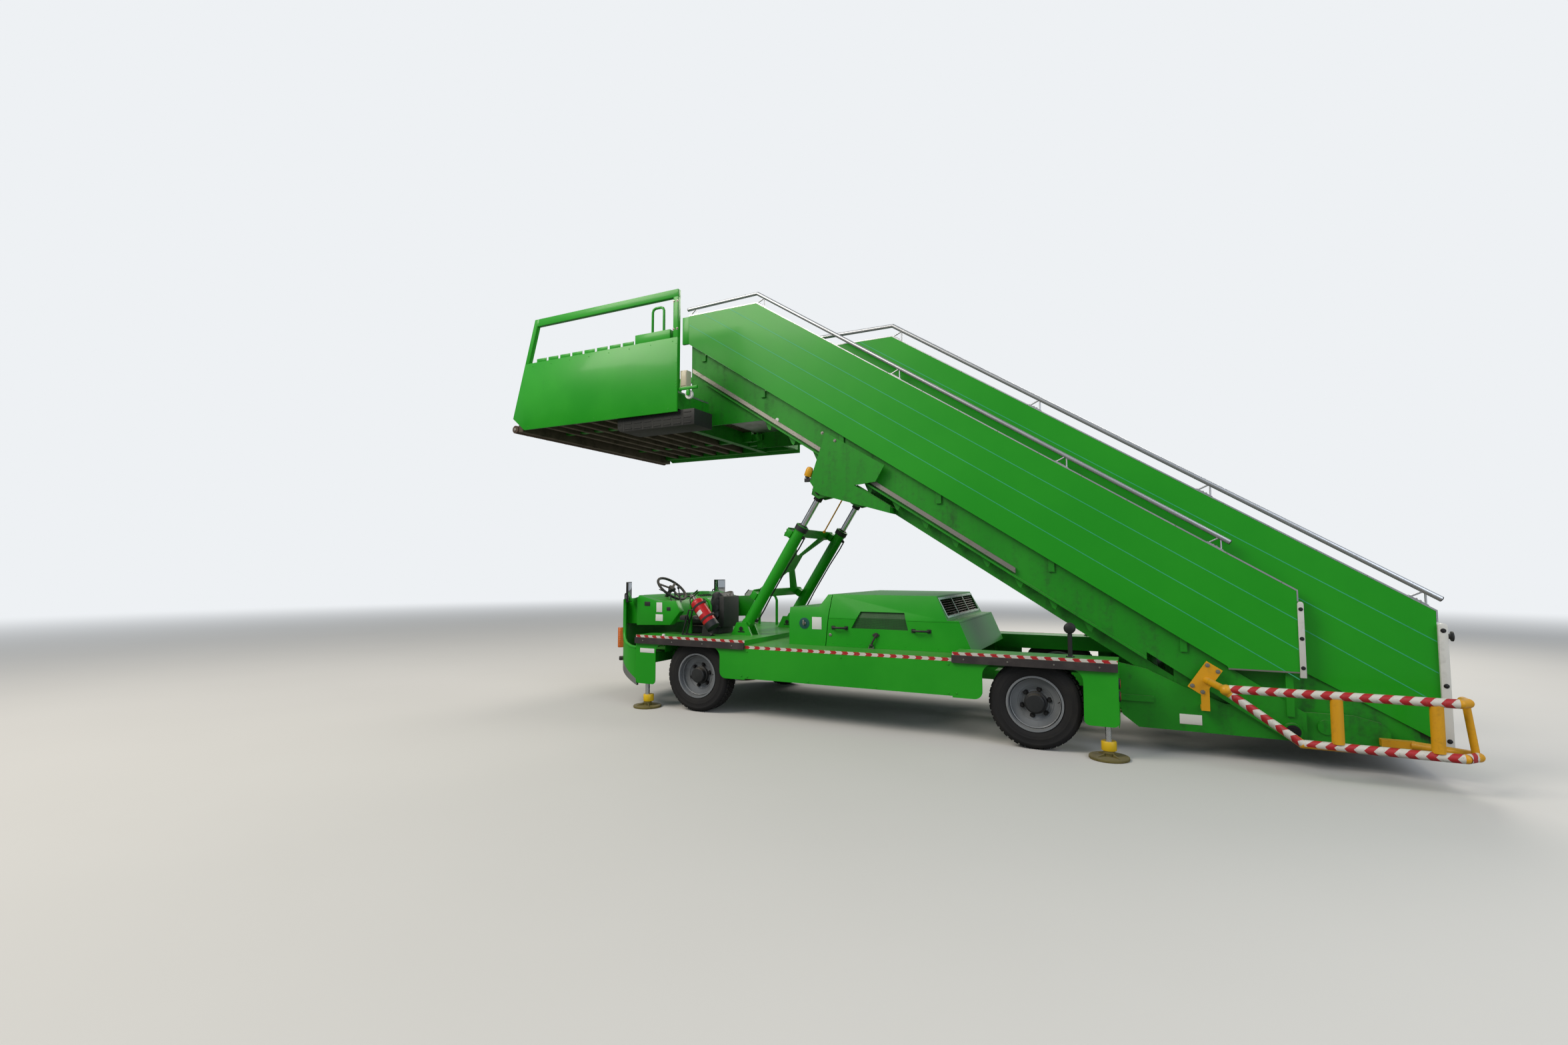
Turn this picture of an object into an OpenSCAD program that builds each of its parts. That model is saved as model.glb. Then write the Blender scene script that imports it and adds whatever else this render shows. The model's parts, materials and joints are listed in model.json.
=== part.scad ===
// Self-propelled passenger stairs for aircraft: a four-wheeled chassis carries
// two telescopic flights, a wide levelled platform and twin lift cylinders.

/* [Flights] */
// Height of the platform floor above the ground
floor_h = 3400; // [3380:5:3420]
// Half width of the upper flight over its side panels
up_half = 830; // [825:5:835]
// Half width of the lower flight over its side panels
lo_half = 715; // [705:5:720]
// Height of the side panels, measured vertically
panel_h = 905; // [880:5:930]
// Diameter of the hand rails
rail_d = 40; // [36:2:44]

/* [Platform] */
// Half width of the platform
plat_half = 1490; // [1460:10:1510]
// Front edge of the platform
plat_front = -4330; // [-4360:10:-4300]

/* [Chassis] */
// Half width of the chassis over its skirts
body_half = 1150; // [1140:5:1160]
// Height of the deck plates
deck_h = 790; // [780:5:800]
// Diameter of the stabiliser rods
leg_d = 48; // [44:2:52]

/* [Wheels] */
// Outside diameter of a tyre
tyre_d = 767; // [757:2:767]
// Width of a tyre
tyre_w = 211; // [201:2:215]

/* [Lift] */
// Diameter of the cylinder barrels
barrel_d = 126; // [116:2:130]
// Diameter of the cylinder rods
rod_d = 66; // [60:2:70]

/* [Hidden] */
$fn = 48;

green = "#2f9e22"; dark = "#2b2d2c"; white = "#e8e8e4"; yellow = "#e0a012"; steel = "#b9bcbe";

k = 0.65;                      // rise of the flights per length
slope = atan(k);
rise = 200;                    // height of one step
run = rise / k;
top_x = -1400;                 // nosing of the platform landing
lap = 410;                     // the lower flight stands this much higher
function zu(x) = floor_h - k * (x - top_x);
function zl(x) = zu(x) + lap;
wheel_r = tyre_d / 2;
axle_f = -2040; axle_r = 1395; axle_z = 383.5;
wheel_out = 1096; wheel_mid = wheel_out - tyre_w / 2;
king_y = 800;
hinge = [3450, 330];           // pivot of the flights on the tail
foot_pin = [-1743, 860]; rod_eye = [-800, 2346];
lift_y = 565;
lift_a = atan2(rod_eye[1] - foot_pin[1], rod_eye[0] - foot_pin[0]);
lift_len = norm(rod_eye - foot_pin);
barrel_len = 1340;
knee_u = -1470; head_u = -2362; knee_l = 45; head_l = -845;
rise_l = 203; run_l = rise_l / k;
land_l = floor_h - 555;        // landing of the lower flight
land_x = (zl(0) - land_l) / k;
up_off = 106.5 + panel_h;      // top of the side panels over the nosings
function edge_u(x) = zu(max(x, knee_u)) + up_off;
function edge_l(x) = zl(max(x, knee_l)) + up_off;
leg_x = [-2685, 1960]; leg_y = 1100;
shift_x = 81.8;                // brings the middle of the length to the origin
level_pin = [-2300, 3300];

module xz(pts, y0, y1) translate([0, y1, 0]) rotate([90, 0, 0]) linear_extrude(y1 - y0) polygon(pts);
module xy(pts, z0, z1) translate([0, 0, z0]) linear_extrude(z1 - z0) polygon(pts);
module yz(pts, x0, x1) translate([x0, 0, 0]) rotate([90, 0, 90]) linear_extrude(x1 - x0) polygon(pts);
module box(x0, x1, y0, y1, z0, z1) translate([x0, y0, z0]) cube([x1 - x0, y1 - y0, z1 - z0]);
module pair() { children(); mirror([0, 1, 0]) children(); }
module bar(a, b, d) {
  v = b - a; n = norm(v);
  translate(a) rotate([0, acos(v[2] / n), atan2(v[1], v[0])]) cylinder(h = n, d = d);
}
module path(p, d) {
  for (i = [0 : len(p) - 2]) bar(p[i], p[i + 1], d);
  for (i = [1 : len(p) - 2]) translate(p[i]) sphere(d = d * 1.05);
}
module pin_y(x, z, y0, y1, r) translate([x, y1, z]) rotate([90, 0, 0]) cylinder(h = y1 - y0, r = r);

// Longitudinal rails and cross members
module chassis_frame() color(green) {
  pair() box(-2780, 2000, 380, 460, 470, 600);
  for (x = [-2700, -1540, -700, 400, 1000]) box(x, x + 90, -700, 700, 480, 590);
  pair() for (x = [-1540, 400]) box(x, x + 90, 460, 1143.7, 480, 590);
  pair() for (x = leg_x) difference() {
    box(x - 45, x + 45, 1055, 1143.7, 400, 740);
    translate([x, leg_y, 390]) cylinder(h = 360, r = leg_d / 2 + 0.4);
  }
  for (x = leg_x) box(x - 45, x + 45, -1055, 1055, 480, 590);
}

// Side plates of the tail with the pins of the flights
module tail_plates() color(green) pair() {
  difference() {
    xz([[2005.3, 480], [2005.3, 740], [2250, 690], [2520, 560], [2800, 450], [3150, 430], [3620, 430],
      [3780, 390], [3830, 330], [3830, 250], [3740, 205], [2180, 205], [2060, 300]], 723, 745);
    pin_y(3269, 309, 720, 750, 24);
    box(2480, 2640, 720, 750, 258, 342);
  }
  box(2005.3, 2300, 745, 765, 420, 470);
  pin_y(hinge[0], hinge[1], 660, 723, 30);
  pin_y(hinge[0], hinge[1], 745, 757, 55);
}

// Beam axle with the eyes of the king pins
module front_axle() color(dark) {
  difference() {
    union() {
      box(axle_f - 45, axle_f + 45, -king_y, king_y, axle_z - 45, axle_z + 45);
      pair() translate([axle_f, king_y, axle_z - 57.7]) cylinder(h = 115.4, d = 92);
    }
    pair() translate([axle_f, king_y, axle_z - 60]) cylinder(h = 120, r = 22.05);
  }
  pair() box(axle_f - 40, axle_f + 40, 390, 450, axle_z + 45, 470);
}

// Drive axle with its differential and the wheel stubs
module rear_axle() color(dark) {
  pair() {
    pin_y(axle_r, axle_z, 0, 860, 55);
    pin_y(axle_r, axle_z, 860, 1040, 32);
    box(axle_r - 40, axle_r + 40, 390, 450, axle_z + 30, 470);
  }
  translate([axle_r, 0, axle_z]) sphere(d = 300);
}

// Fenders, low mid panels and end plates, both sides
module skirts() color(green) pair() {
  y0 = body_half - 6; y1 = body_half;
  xz([[-2815, 260], [-2815, 702], [-2450, 702], [-2545, 600], [-2545, 260]], y0, y1);
  xz([[-1415, 702], [-1415, 380], [-1715, 380], [-1715, 600], [-1810, 702]], y0, y1);
  xz([[-1415, 420], [-1415, 740], [715, 740], [715, 420]], y0, y1);
  xz([[715, 400], [715, 702], [1070, 702], [975, 600], [975, 400]], y0, y1);
  xz([[2045, 702], [2045, 260], [1785, 260], [1785, 600], [1690, 702]], y0, y1);
  box(-2815, -1415, 1144, body_half, 700, deck_h);
  box(715, 2045, 1144, body_half, 700, deck_h);
  box(-2815, -2809.3, 950, 1144, 260, deck_h);
  box(-1421, -1415, 870, 1144, 380, 733);
  box(715, 721, 870, 1144, 400, 740);
  box(2039, 2045, 870, 1144, 260, deck_h);
  box(715, 2045, 864, 870, 640, deck_h);
}

// Deck plates over the frame, the fenders and the driver's footwell
module deck() color(green) {
  box(-2490, -1421, -1143.7, 1143.7, deck_h - 6, deck_h);
  pair() box(-2809, -2490, 700, 1143.7, deck_h - 6, deck_h);
  box(-2490, -2484, -1050, 1050, 606, deck_h - 6);
  box(-2999.7, -2484, -874, 874, 600.3, 606);
  difference() {
    box(-1414.7, 714.7, -1143.7, 1143.7, 734, 740);
    box(-640, 640, -340, 340, 730, 745);
  }
  box(-1421, -1414.7, -1143.7, 1143.7, 734, deck_h);
  pair() box(721.3, 2038.7, 870.3, 1143.7, deck_h - 6, deck_h);
}

// Curved front wall of the driver's place
module front_wall() color(green) difference() {
  translate([0, 0, 370]) linear_extrude(780) difference() {
    union() { translate([-3030, -900]) square([400, 1800]); translate([-2780, -1130]) square([150, 2260]);
      for (s = [-1, 1]) translate([-2780, s * 880]) circle(r = 250); }
    union() { translate([-3000, -880]) square([420, 1760]); translate([-2780, -1100]) square([200, 2200]);
      for (s = [-1, 1]) translate([-2780, s * 880]) circle(r = 220); }
  }
  box(-2815.3, -2400, -1200, 1200, 300, 1200);
}

// Instrument box behind the front wall
module dashboard() color(green) {
  xz([[-2999.7, 1000], [-2999.7, 1230], [-2900, 1250], [-2780, 1150], [-2780, 1060], [-2860, 1000]], -800, 780);
}

// Steering wheel on its leaning column
module steering_wheel() color(dark) translate([-2740, -590, 1290]) rotate([0, 39.8, 0]) {
  rotate_extrude() translate([190, 0]) circle(d = 30, $fn = 24);
  cylinder(h = 30, d = 90, center = true);
  for (a = [0, 120, 240]) rotate([0, 0, a]) translate([30, -15, -6]) cube([155, 30, 10]);
  translate([0, 0, -132.9]) cylinder(h = 132.9, d = 44);
}

// Seat shell with cushion and back
module driver_seat() color(dark) {
  box(-2380, -1980, -790, -390, deck_h, 860);
  xz([[-2420, 860], [-2420, 930], [-2390, 960], [-2010, 940], [-1990, 860]], -820, -360);
  xz([[-2050, 940], [-1990, 1300], [-1960, 1320], [-1900, 1310], [-1960, 940]], -800, -380);
}

// Two mirrors on stalks
module mirrors() color(dark) {
  for (m = [[-2982, -1000], [-2982, 1000]]) {
    bar([m[0], m[1], 1151.2], [m[0] - 15, m[1], 1300], 18);
    translate([m[0] - 25, m[1], 1300]) box(-12, 12, -85, 85, 0, 150);
  }
}

// Lower part of the engine cover with the front box
module engine_cover() color(green) {
  difference() {
    xz([[-685, 740.3], [-685, 960], [-650, 1020], [700, 1020], [825, 940], [825, 740.3]], -800, 800);
    box(-660, 790, -776, 776, 730, 1030);
  }
  difference() {
    xz([[-1075, 740.3], [-1075, 1100], [-780, 1120], [-690, 1020], [-690, 740.3]], -760, 760);
    box(-1050, -700, -736, 736, 730, 1076);
  }
  for (y = [-520, 500]) {
    box(706, 732, y, y + 20, 985, 1030);
    pin_y(719, 1027, y - 60, y + 80, 7);
  }
}

// Engine and gearbox under the cover
module engine_block() color(dark) {
  box(-640, 180, -330, 330, 590.3, 980);
  box(180, 620, -220, 220, 590.3, 850);
}

// Hinged top of the engine cover
module hood_lid() color(green) difference() {
  union() {
    xz([[-650, 1022], [-675, 1230], [-655, 1250], [475, 1250], [540, 1230], [700, 1022]], -796, 796);
    for (y = [-580, -498, 440, 522]) { pin_y(719, 1027, y, y + 58, 12); box(690, 719, y, y + 58, 1030, 1039); }
  }
  xz([[-626, 1012], [-648, 1226], [462, 1226], [524, 1208], [676, 1012]], -772, 772);
  box(-300, 210, -820, 820, 1070, 1170);
  pin_y(719, 1027, -600, 600, 7.05);
}

// Fire extinguisher on its leaning stand
module extinguisher() color("#b3151a") {
  a = [-2240, -900, 830]; b = [-1900, -900, 1200];
  translate([-2140, -900, 880]) rotate([0, 42, 0]) cylinder(h = 360, d = 130);
  translate([-2140, -900, 880]) rotate([0, 42, 0]) translate([0, 0, 360]) cylinder(h = 60, d = 44);
  xz([[-2330, 790], [-2180, 790], [-2060, 900], [-2120, 960]], -930, -870);
}

// Rubber edge strips on the fenders
module rubber_strips() color(dark) pair() {
  box(-2815, -1415, body_half, body_half + 26, 700, 766);
  box(715, 2045, body_half, body_half + 26, 700, 766);
}

// Work lamp on its post and the front marker lamps
module lamps() color(dark) {
  pair() translate([1705, 1050, deck_h]) { cylinder(h = 200, d = 40);
    translate([0, 0, 200]) rotate([0, 20, 0]) box(-45, 45, -50, 50, 0, 90); }
  pair() translate([-3048, 820, 700]) box(-30, 17.7, -60, 60, 0, 200);
}

// Hoop rails beside the driver's place
module cab_rails() color(green) {
  pair() path([[-1500, 1080, deck_h], [-1500, 1080, 1180], [-1900, 1080, 1180], [-1900, 1080, deck_h]], 38);
}

// Forked feet of the lift cylinders
module cylinder_feet() color(green) pair() difference() {
  for (y = [lift_y - 95, lift_y + 65]) {
    difference() {
      xz([[foot_pin[0] - 130, deck_h], [foot_pin[0] - 60, 930], [foot_pin[0] + 60, 930], [foot_pin[0] + 130, deck_h]], y, y + 30);
      pin_y(foot_pin[0], foot_pin[1], y - 5, y + 35, 28);
    }
  }
}

// Striped tube guard round the foot of the stairs
module foot_guard() color(yellow) pair() {
  gy = 1100; z1 = 622; z0 = 260;
  translate([2660, 0, 650]) rotate([0, slope, 0]) box(-65, 65, 846, 860, -120, 130);
  box(2630, 2690, 745, 858, 400, 430);
  box(2630, 2690, 848, 858, 405, 600);
  bar([2672, 850, 640], [2780, gy, 610], 54);
  translate([2780, gy, 610]) sphere(d = 84);
  path([[2780, gy, 618], [4120, gy, z1], [4175, gy - 55, z1], [4175, 950, z1]], 60);
  path([[2780, gy, 600], [3240, gy, z0], [4130, gy, z0], [4225, gy - 95, z0], [4225, 950, z0], [3940, 790, z0]], 60);
  for (x = [3450, 4000]) bar([x, gy, z0 + 5], [x, gy, z1 - 5], 48);
  bar([4218, 985, z0 + 5], [4180, 985, z1 - 5], 44);
  box(3760, 3960, 745, 805, 235, 285);
}

// Steering knuckle: fork, king pin, stub and arm
module knuckle_at(s) color(dark) translate([axle_f, s * king_y, axle_z]) {
  for (z = [-80, 58]) translate([-45, -45, z]) cube([90, 90, 22]);
  translate([0, 0, -75]) cylinder(h = 150, r = 22);
  translate([-40, s > 0 ? 47 : -75, -80]) cube([80, 28, 160]);
  rotate([s > 0 ? -90 : 90, 0, 0]) translate([0, 0, 74]) cylinder(h = 165, r = 32);
  translate([20, s > 0 ? -130 : 20, 58]) cube([150, 110, 22]);
}
module knuckle_left() knuckle_at(-1);
module knuckle_right() knuckle_at(1);

function wheel_pos(i) = [[axle_f, -1], [axle_f, 1], [axle_r, -1], [axle_r, 1]][i];
module on_wheel(i) translate([wheel_pos(i)[0], wheel_pos(i)[1] * wheel_mid, axle_z])
  rotate([wheel_pos(i)[1] > 0 ? -90 : 90, 0, 0]) children();
// Tyre with rounded shoulders
module tyre() color(dark) rotate_extrude() polygon([[226, -90], [240, -96], [300, -105], [350, -100], [374, -90],
  [wheel_r, -74], [wheel_r, 74], [374, 90], [350, 100], [300, 105], [240, 96], [226, 90], [226, -90]]);
// Steel rim with a dished disc and hub
module rim() color(steel) rotate_extrude() polygon([[235, -104], [235, -97], [225, -97], [225, -60], [215, -40],
  [215, 40], [225, 60], [225, 97], [235, 97], [235, 104], [218, 104], [218, 62], [207, 44], [207, 30], [150, 24], [110, 4], [75, 4],
  [75, 60], [32.05, 60], [32.05, -30], [75, -30], [75, -8], [110, -8], [150, 12], [200, 18], [207, 10], [207, -44], [218, -62], [218, -104]]);
module tyre_fl() on_wheel(0) tyre();
module tyre_fr() on_wheel(1) tyre();
module tyre_rl() on_wheel(2) tyre();
module tyre_rr() on_wheel(3) tyre();
module rim_fl() on_wheel(0) rim();
module rim_fr() on_wheel(1) rim();
module rim_rl() on_wheel(2) rim();
module rim_rr() on_wheel(3) rim();

// Stabiliser leg: rod with collar and round foot
module leg(x, s) color(yellow) translate([x, s * leg_y, 0]) {
  cylinder(h = 22, d = 300);
  translate([0, 0, 22]) cylinder(h = 40, d = 80);
  translate([0, 0, 22]) cylinder(h = 550, d = leg_d);
}
module leg_fl() leg(leg_x[0], -1);
module leg_fr() leg(leg_x[0], 1);
module leg_rl() leg(leg_x[1], -1);
module leg_rr() leg(leg_x[1], 1);

// Under frame of the lower flight: side webs, under beams and the pivot eyes
module lower_frame() color(green) {
  pair() difference() {
    union() {
      xz([[head_l, zu(head_l) + 20], [head_l, zl(head_l) + 100], [4165, zl(4165) + 100], [4165, 190], [3500, 190],
        [3300, 215], [2450, 480], [2450, zl(2450) - 235], [84, zl(84) - 235], [-480, zu(-480) + 12]], 688, 700);
      xz([[60.3, zu(60.3) - 262], [2460, zu(2460) - 262], [3250, 410], [3490, 392], [3496, 370], [3560, 350], [3575, 320], [3520, 250],
        [3300, 230], [2460, zu(2460) - 380], [60.3, zu(60.3) - 380]], 640, 690);
    }
    pin_y(hinge[0], hinge[1], 630, 705, 30.05);
  }
  for (x = [600, 1500, 2350]) translate([x, 0, zu(x) - 321]) rotate([0, slope, 0]) box(-35, 35, -650, 650, -35, 35);
}

// Treads and risers of the lower flight with its small landing
module lower_steps() color("#8f9496") {
  box(-480, land_x, -687.7, 687.7, land_l - 30, land_l);
  for (i = [1 : 13]) {
    x = land_x + run_l * i; z = land_l - rise_l * i;
    box(x - run_l - 20, x, -687.7, 687.7, z - 30, z);
    box(x - run_l - 20, x - run_l + 2, -687.7, 687.7, z - 30, z + rise_l - 30);
  }
}

// Side panels of the lower flight
module lower_panels() color(green) pair()
  xz([[head_l, zu(head_l) + 90], [head_l, edge_l(head_l)], [knee_l, edge_l(knee_l)], [4130.7, edge_l(4130.7)], [4130.7, zl(4130.7) + 60]],
    700.3, lo_half);

// Hand rails of the lower flight
module lower_rails() color(steel) pair() {
  y = lo_half - 10;
  path([[head_l + 20, y, edge_l(head_l) + 0.3], [head_l + 20, y, edge_l(head_l) + 110], [knee_l, y, edge_l(knee_l) + 110],
    [4158, y, edge_l(4158) + 100], [4158, y, edge_l(4158) + 16]], rail_d);
  for (x = [131, 1452, 2761]) bar([x, y, edge_l(x) + 8], [x, y, edge_l(x) + 105], 16);
}

// White end posts of the lower flight
module lower_posts() color(white) pair() box(4131, 4185, 700.3, 740, 215, edge_l(4158) + 15.7);

// Guide boxes round the upper stringers with the cross beam under them
module guide_box() color(green) {
  pair() {
    xz([[-805, 2430], [-760, 2366], [-330, 2366], [-89, 2390], [6, 2548], [-625, 2934]], 850, 866);
    xz([[-300, zu(-300) - 345], [-300, zu(-300) - 310.4], [50, zu(50) - 310.4], [50, zu(50) - 345]], 785, 825);
    xz([[-780, 2350], [-717, 2378], [-330, 2378], [60, zu(60) - 320], [60, zu(60) - 380], [-690, 2290]], 640, 866);
  }
  xz([[-700, 2375], [-700, 2290], [-350, 2200], [-350, 2360]], -645, 645);
  pair() for (y = [lift_y - 95, lift_y + 65]) difference() {
    xz([[-690, 2375], [-860, 2400], [-880, 2320], [-800, 2270], [-690, 2290]], y, y + 30);
    pin_y(rod_eye[0], rod_eye[1], y - 5, y + 35, 20);
  }
  pair() for (y = [lift_y - 105, lift_y + 85]) pin_y(rod_eye[0], rod_eye[1], y, y + 20, 34);
}

// Barrels of the lift cylinders with their foot eyes
module lift_barrels() color(green) pair() translate([foot_pin[0], lift_y, foot_pin[1]]) rotate([0, 90 - lift_a, 0]) {
  difference() {
    union() { translate([0, 0, 90]) cylinder(h = barrel_len - 90, d = barrel_d);
      translate([-50, -60, 0]) cube([100, 120, 100]);
      rotate([90, 0, 0]) cylinder(h = 120, d = 100, center = true); }
    translate([0, 0, 130]) cylinder(h = barrel_len, r = rod_d / 2 + 0.05);
  }
  rotate([90, 0, 0]) cylinder(h = 200, r = 27.95, center = true);
}

// Cross-shaped plate between the two barrels
module barrel_brace() color(green) {
  w = lift_y - barrel_d / 2 - 0.2;
  pl = [[-w, 320], [-w, 420], [-120, 700], [-w, 1000], [-w, 1120], [w, 1120], [w, 1000], [120, 700], [w, 420], [w, 320]];
  translate([foot_pin[0], 0, foot_pin[1]]) rotate([0, 90 - lift_a, 0]) rotate([90, 0, 90]) linear_extrude(12, center = true) difference() {
    polygon(pl);
    polygon([[-300, 400], [0, 620], [300, 400]]);
    polygon([[-300, 1040], [0, 800], [300, 1040]]);
  }
}

// Chromed rods with their eyes
module lift_rods() color(steel) pair() translate([foot_pin[0], lift_y, foot_pin[1]]) rotate([0, 90 - lift_a, 0]) {
  translate([0, 0, 480]) cylinder(h = lift_len - 480 - 40, d = rod_d);
  translate([0, 0, lift_len]) {
    rotate([90, 0, 0]) cylinder(h = 116, d = 100, center = true);
  }
}

// Outer stringers of the upper flight with strip, flange and end roller
module upper_stringers() color(green) pair() {
  difference() {
    xz([[head_u + 14, floor_h - 150], [head_u + 14, zu(head_u + 14) + 98], [3325, zu(3325) + 98], [3325, zu(3325) - 100],
      [3255, zu(3255) - 190], [-1461, zu(-1461) - 190]], 770, 782);
    pin_y(level_pin[0], level_pin[1], 765, 790, 25.05);
  }
  xz([[-2340, zu(-2340) - 205], [-2340, zu(-2340) - 175], [2255, zu(2255) - 175], [2255, zu(2255) - 205]], 782, 830);
  xz([[-2150, zu(-2150) - 310], [-2150, zu(-2150) - 290], [2255, zu(2255) - 290], [2255, zu(2255) - 310]], 782, 822);
  xz([[-2150, zu(-2150) - 310], [-2150, zu(-2150) - 190], [2255, zu(2255) - 190], [2255, zu(2255) - 310]], 770, 782);
  for (x = [-2200, -1420, -500, 500, 1500, 2500, 3200]) box(x, x + 50, 782, 799.7, zu(x + 50) + 20, edge_u(x + 50) - 30);
  pin_y(3230, 290, 782, 830, 62);
}

// Treads and risers of the upper flight with the landing
module upper_steps() color("#8f9496") {
  box(head_u + 20, top_x, -769.7, 769.7, floor_h - 40, floor_h);
  for (i = [1 : 11]) {
    x = top_x + run * i; z = floor_h - rise * i;
    box(x - run - 20, x, -769.7, 769.7, z - 30, z);
    box(x - run - 20, x - run + 2, -769.7, 769.7, z - 30, z + rise - 30);
  }
}

// Side panels of the upper flight
module upper_panels() color(green) pair()
  xz([[head_u, zu(head_u) + 102], [head_u, edge_u(head_u)], [knee_u, edge_u(knee_u)], [3289.7, edge_u(3289.7)], [3289.7, 745],
    [2827, 745], [2820, zu(2820) + 102]], 800, up_half);

// Hand rails of the upper flight
module upper_rails() color(steel) pair() {
  y = up_half - 20;
  path([[head_u + 30, y, edge_u(head_u) + 0.3], [head_u + 30, y, edge_u(head_u) + 85], [knee_u, y, edge_u(knee_u) + 108], [2870, y, edge_u(2870) + 108],
    [2870, y, edge_u(2870) + 14]], rail_d);
  for (x = [-1394, 157, 1675, 2812]) bar([x, y, edge_u(x) + 8], [x, y, edge_u(x) + 105], 16);
}

// White end posts of the upper flight
module upper_posts() color(white) pair() box(3290, 3330, 796, 838, 700, edge_u(3310) + 10);

// Beams under the platform floor with the levelling pins
module platform_frame() color(green) {
  for (x = [-4280, -3500, -2620]) box(x, x + 90, -1469.7, 1469.7, 3200, 3381.7);
  for (y = [-1440, 1350]) box(-4190, -2530, y, y + 90, 3210, 3370);
  pair() box(-4190, -2400, 700, 765, 3240, 3370);
  pair() { xz([[-2401, 3240], [-2401, 3340], [-2250, 3335], [-2250, 3255]], 735, 765);
    pin_y(level_pin[0], level_pin[1], 765, 784, 25); }
}

// Plank floor of the platform
module platform_floor() color("#8f9496") box(-4329.7, head_u - 12, -1469.7, 1469.7, 3382, 3400);

// Side panels of the platform
module platform_sides() color(green) pair()
  xz([[plat_front, 3190], [-4240, 3960], [-2040, 3960], [-2040, 3300], [-2300, 3190]], plat_half - 20, plat_half);

// Tube rails above the platform sides
module platform_rails() color(green) pair() {
  y = plat_half - 25;
  box(-4065, -2040, y - 25, y + 25, 4405, 4455);
  box(-2090, -2040, y - 25, y + 25, 3960.3, 4405);
  xz([[-4235, 3960.3], [-4185, 3960.3], [-4065, 4405], [-4065, 4455], [-4110, 4455]], y - 25, y + 25);
}

// Rubber bumper along the front edge
module platform_bumper() color("#5a3f2c") box(-4420, plat_front - 0.3, -1480, 1480, 3120, 3280);

translate([shift_x, 0, 0]) {
  chassis_frame();
  tail_plates();
  front_axle();
  rear_axle();
  skirts();
  deck();
  front_wall();
  dashboard();
  steering_wheel();
  driver_seat();
  mirrors();
  engine_cover();
  engine_block();
  extinguisher();
  rubber_strips();
  lamps();
  cab_rails();
  cylinder_feet();
  foot_guard();
  hood_lid();
  knuckle_left();
  knuckle_right();
  tyre_fl();
  rim_fl();
  tyre_fr();
  rim_fr();
  tyre_rl();
  rim_rl();
  tyre_rr();
  rim_rr();
  leg_fl();
  leg_fr();
  leg_rl();
  leg_rr();
  lower_frame();
  lower_steps();
  lower_panels();
  lower_rails();
  lower_posts();
  guide_box();
  lift_barrels();
  barrel_brace();
  lift_rods();
  upper_stringers();
  upper_steps();
  upper_panels();
  upper_rails();
  upper_posts();
  platform_frame();
  platform_floor();
  platform_sides();
  platform_rails();
  platform_bumper();
}
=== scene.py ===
"""Looks of the self-propelled aircraft stairs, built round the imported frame."""

import json
import logging
import math
from dataclasses import dataclass, field, fields
from enum import Enum
from typing import Any, Callable, ClassVar, Iterable, Sequence

import bmesh
import bpy
from mathutils import Matrix, Vector

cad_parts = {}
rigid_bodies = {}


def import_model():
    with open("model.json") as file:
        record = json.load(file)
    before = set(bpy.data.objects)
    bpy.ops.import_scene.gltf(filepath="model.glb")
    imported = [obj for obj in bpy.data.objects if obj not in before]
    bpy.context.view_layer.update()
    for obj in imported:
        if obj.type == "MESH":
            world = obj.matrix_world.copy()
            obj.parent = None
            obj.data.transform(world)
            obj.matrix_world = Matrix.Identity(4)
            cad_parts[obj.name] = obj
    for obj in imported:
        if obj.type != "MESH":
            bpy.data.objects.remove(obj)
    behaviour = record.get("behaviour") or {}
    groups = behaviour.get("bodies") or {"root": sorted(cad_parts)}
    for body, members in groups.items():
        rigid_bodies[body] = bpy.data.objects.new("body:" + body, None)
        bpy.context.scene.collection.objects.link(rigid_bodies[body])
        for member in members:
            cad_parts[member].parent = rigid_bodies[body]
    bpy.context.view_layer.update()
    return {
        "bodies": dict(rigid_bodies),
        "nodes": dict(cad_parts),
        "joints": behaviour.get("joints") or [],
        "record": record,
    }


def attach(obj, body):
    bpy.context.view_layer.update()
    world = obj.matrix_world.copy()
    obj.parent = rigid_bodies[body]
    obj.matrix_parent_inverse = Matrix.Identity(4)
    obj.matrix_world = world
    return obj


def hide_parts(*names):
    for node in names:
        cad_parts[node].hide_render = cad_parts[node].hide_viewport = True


LOG = logging.getLogger("aircraft_stairs")
Point = Sequence[float]
Line = Sequence[Point]
Settings = dict[Any, Any] | None
Material = bpy.types.Material

SHIFT = 0.0818  # puts the middle of the machine's length at the origin
RISE_PER_RUN = 0.65
NORM = math.hypot(1.0, RISE_PER_RUN)
DOWNHILL = Vector((1.0, 0.0, -RISE_PER_RUN)) / NORM
UPPER_KNEE, LOWER_KNEE = -1.47, 0.045
PANEL_TOP = 1.0115
REAR, FRONT, RIGHT, LEFT, UP = (1, 0, 0), (-1, 0, 0), (0, 1, 0), (0, -1, 0), (0, 0, 1)
GREEN, FADED, GRIMY, WORN, BACKDROP = "#159010", "#2ba31e", "#14820f", "#25931b", "#eef1f4"
FLOOR_GAP = 0.0005  # keeps the floor off the tyres' faces
BEVEL_ANGLE = 0.6  # edges sharper than this are rounded, in radians
CREASE_ANGLE = math.radians(38)  # edges sharper than this aren't smoothed
CLOTH_FRAMES = 20
CLOTH_PRESSURE = 4.0
CUSHION_VOXEL = 0.008
FINE_TURN = math.radians(15)  # step round a plate's rounded corner
GRILLE_SLOPE = math.radians(26.57)


class Side(Enum):
    """Side of the machine, as the sign of Y."""

    LEFT = -1
    RIGHT = 1


class Heading(Enum):
    """Way that a row of chevrons points along the machine."""

    FORWARD = 1
    REARWARD = -1


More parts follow.
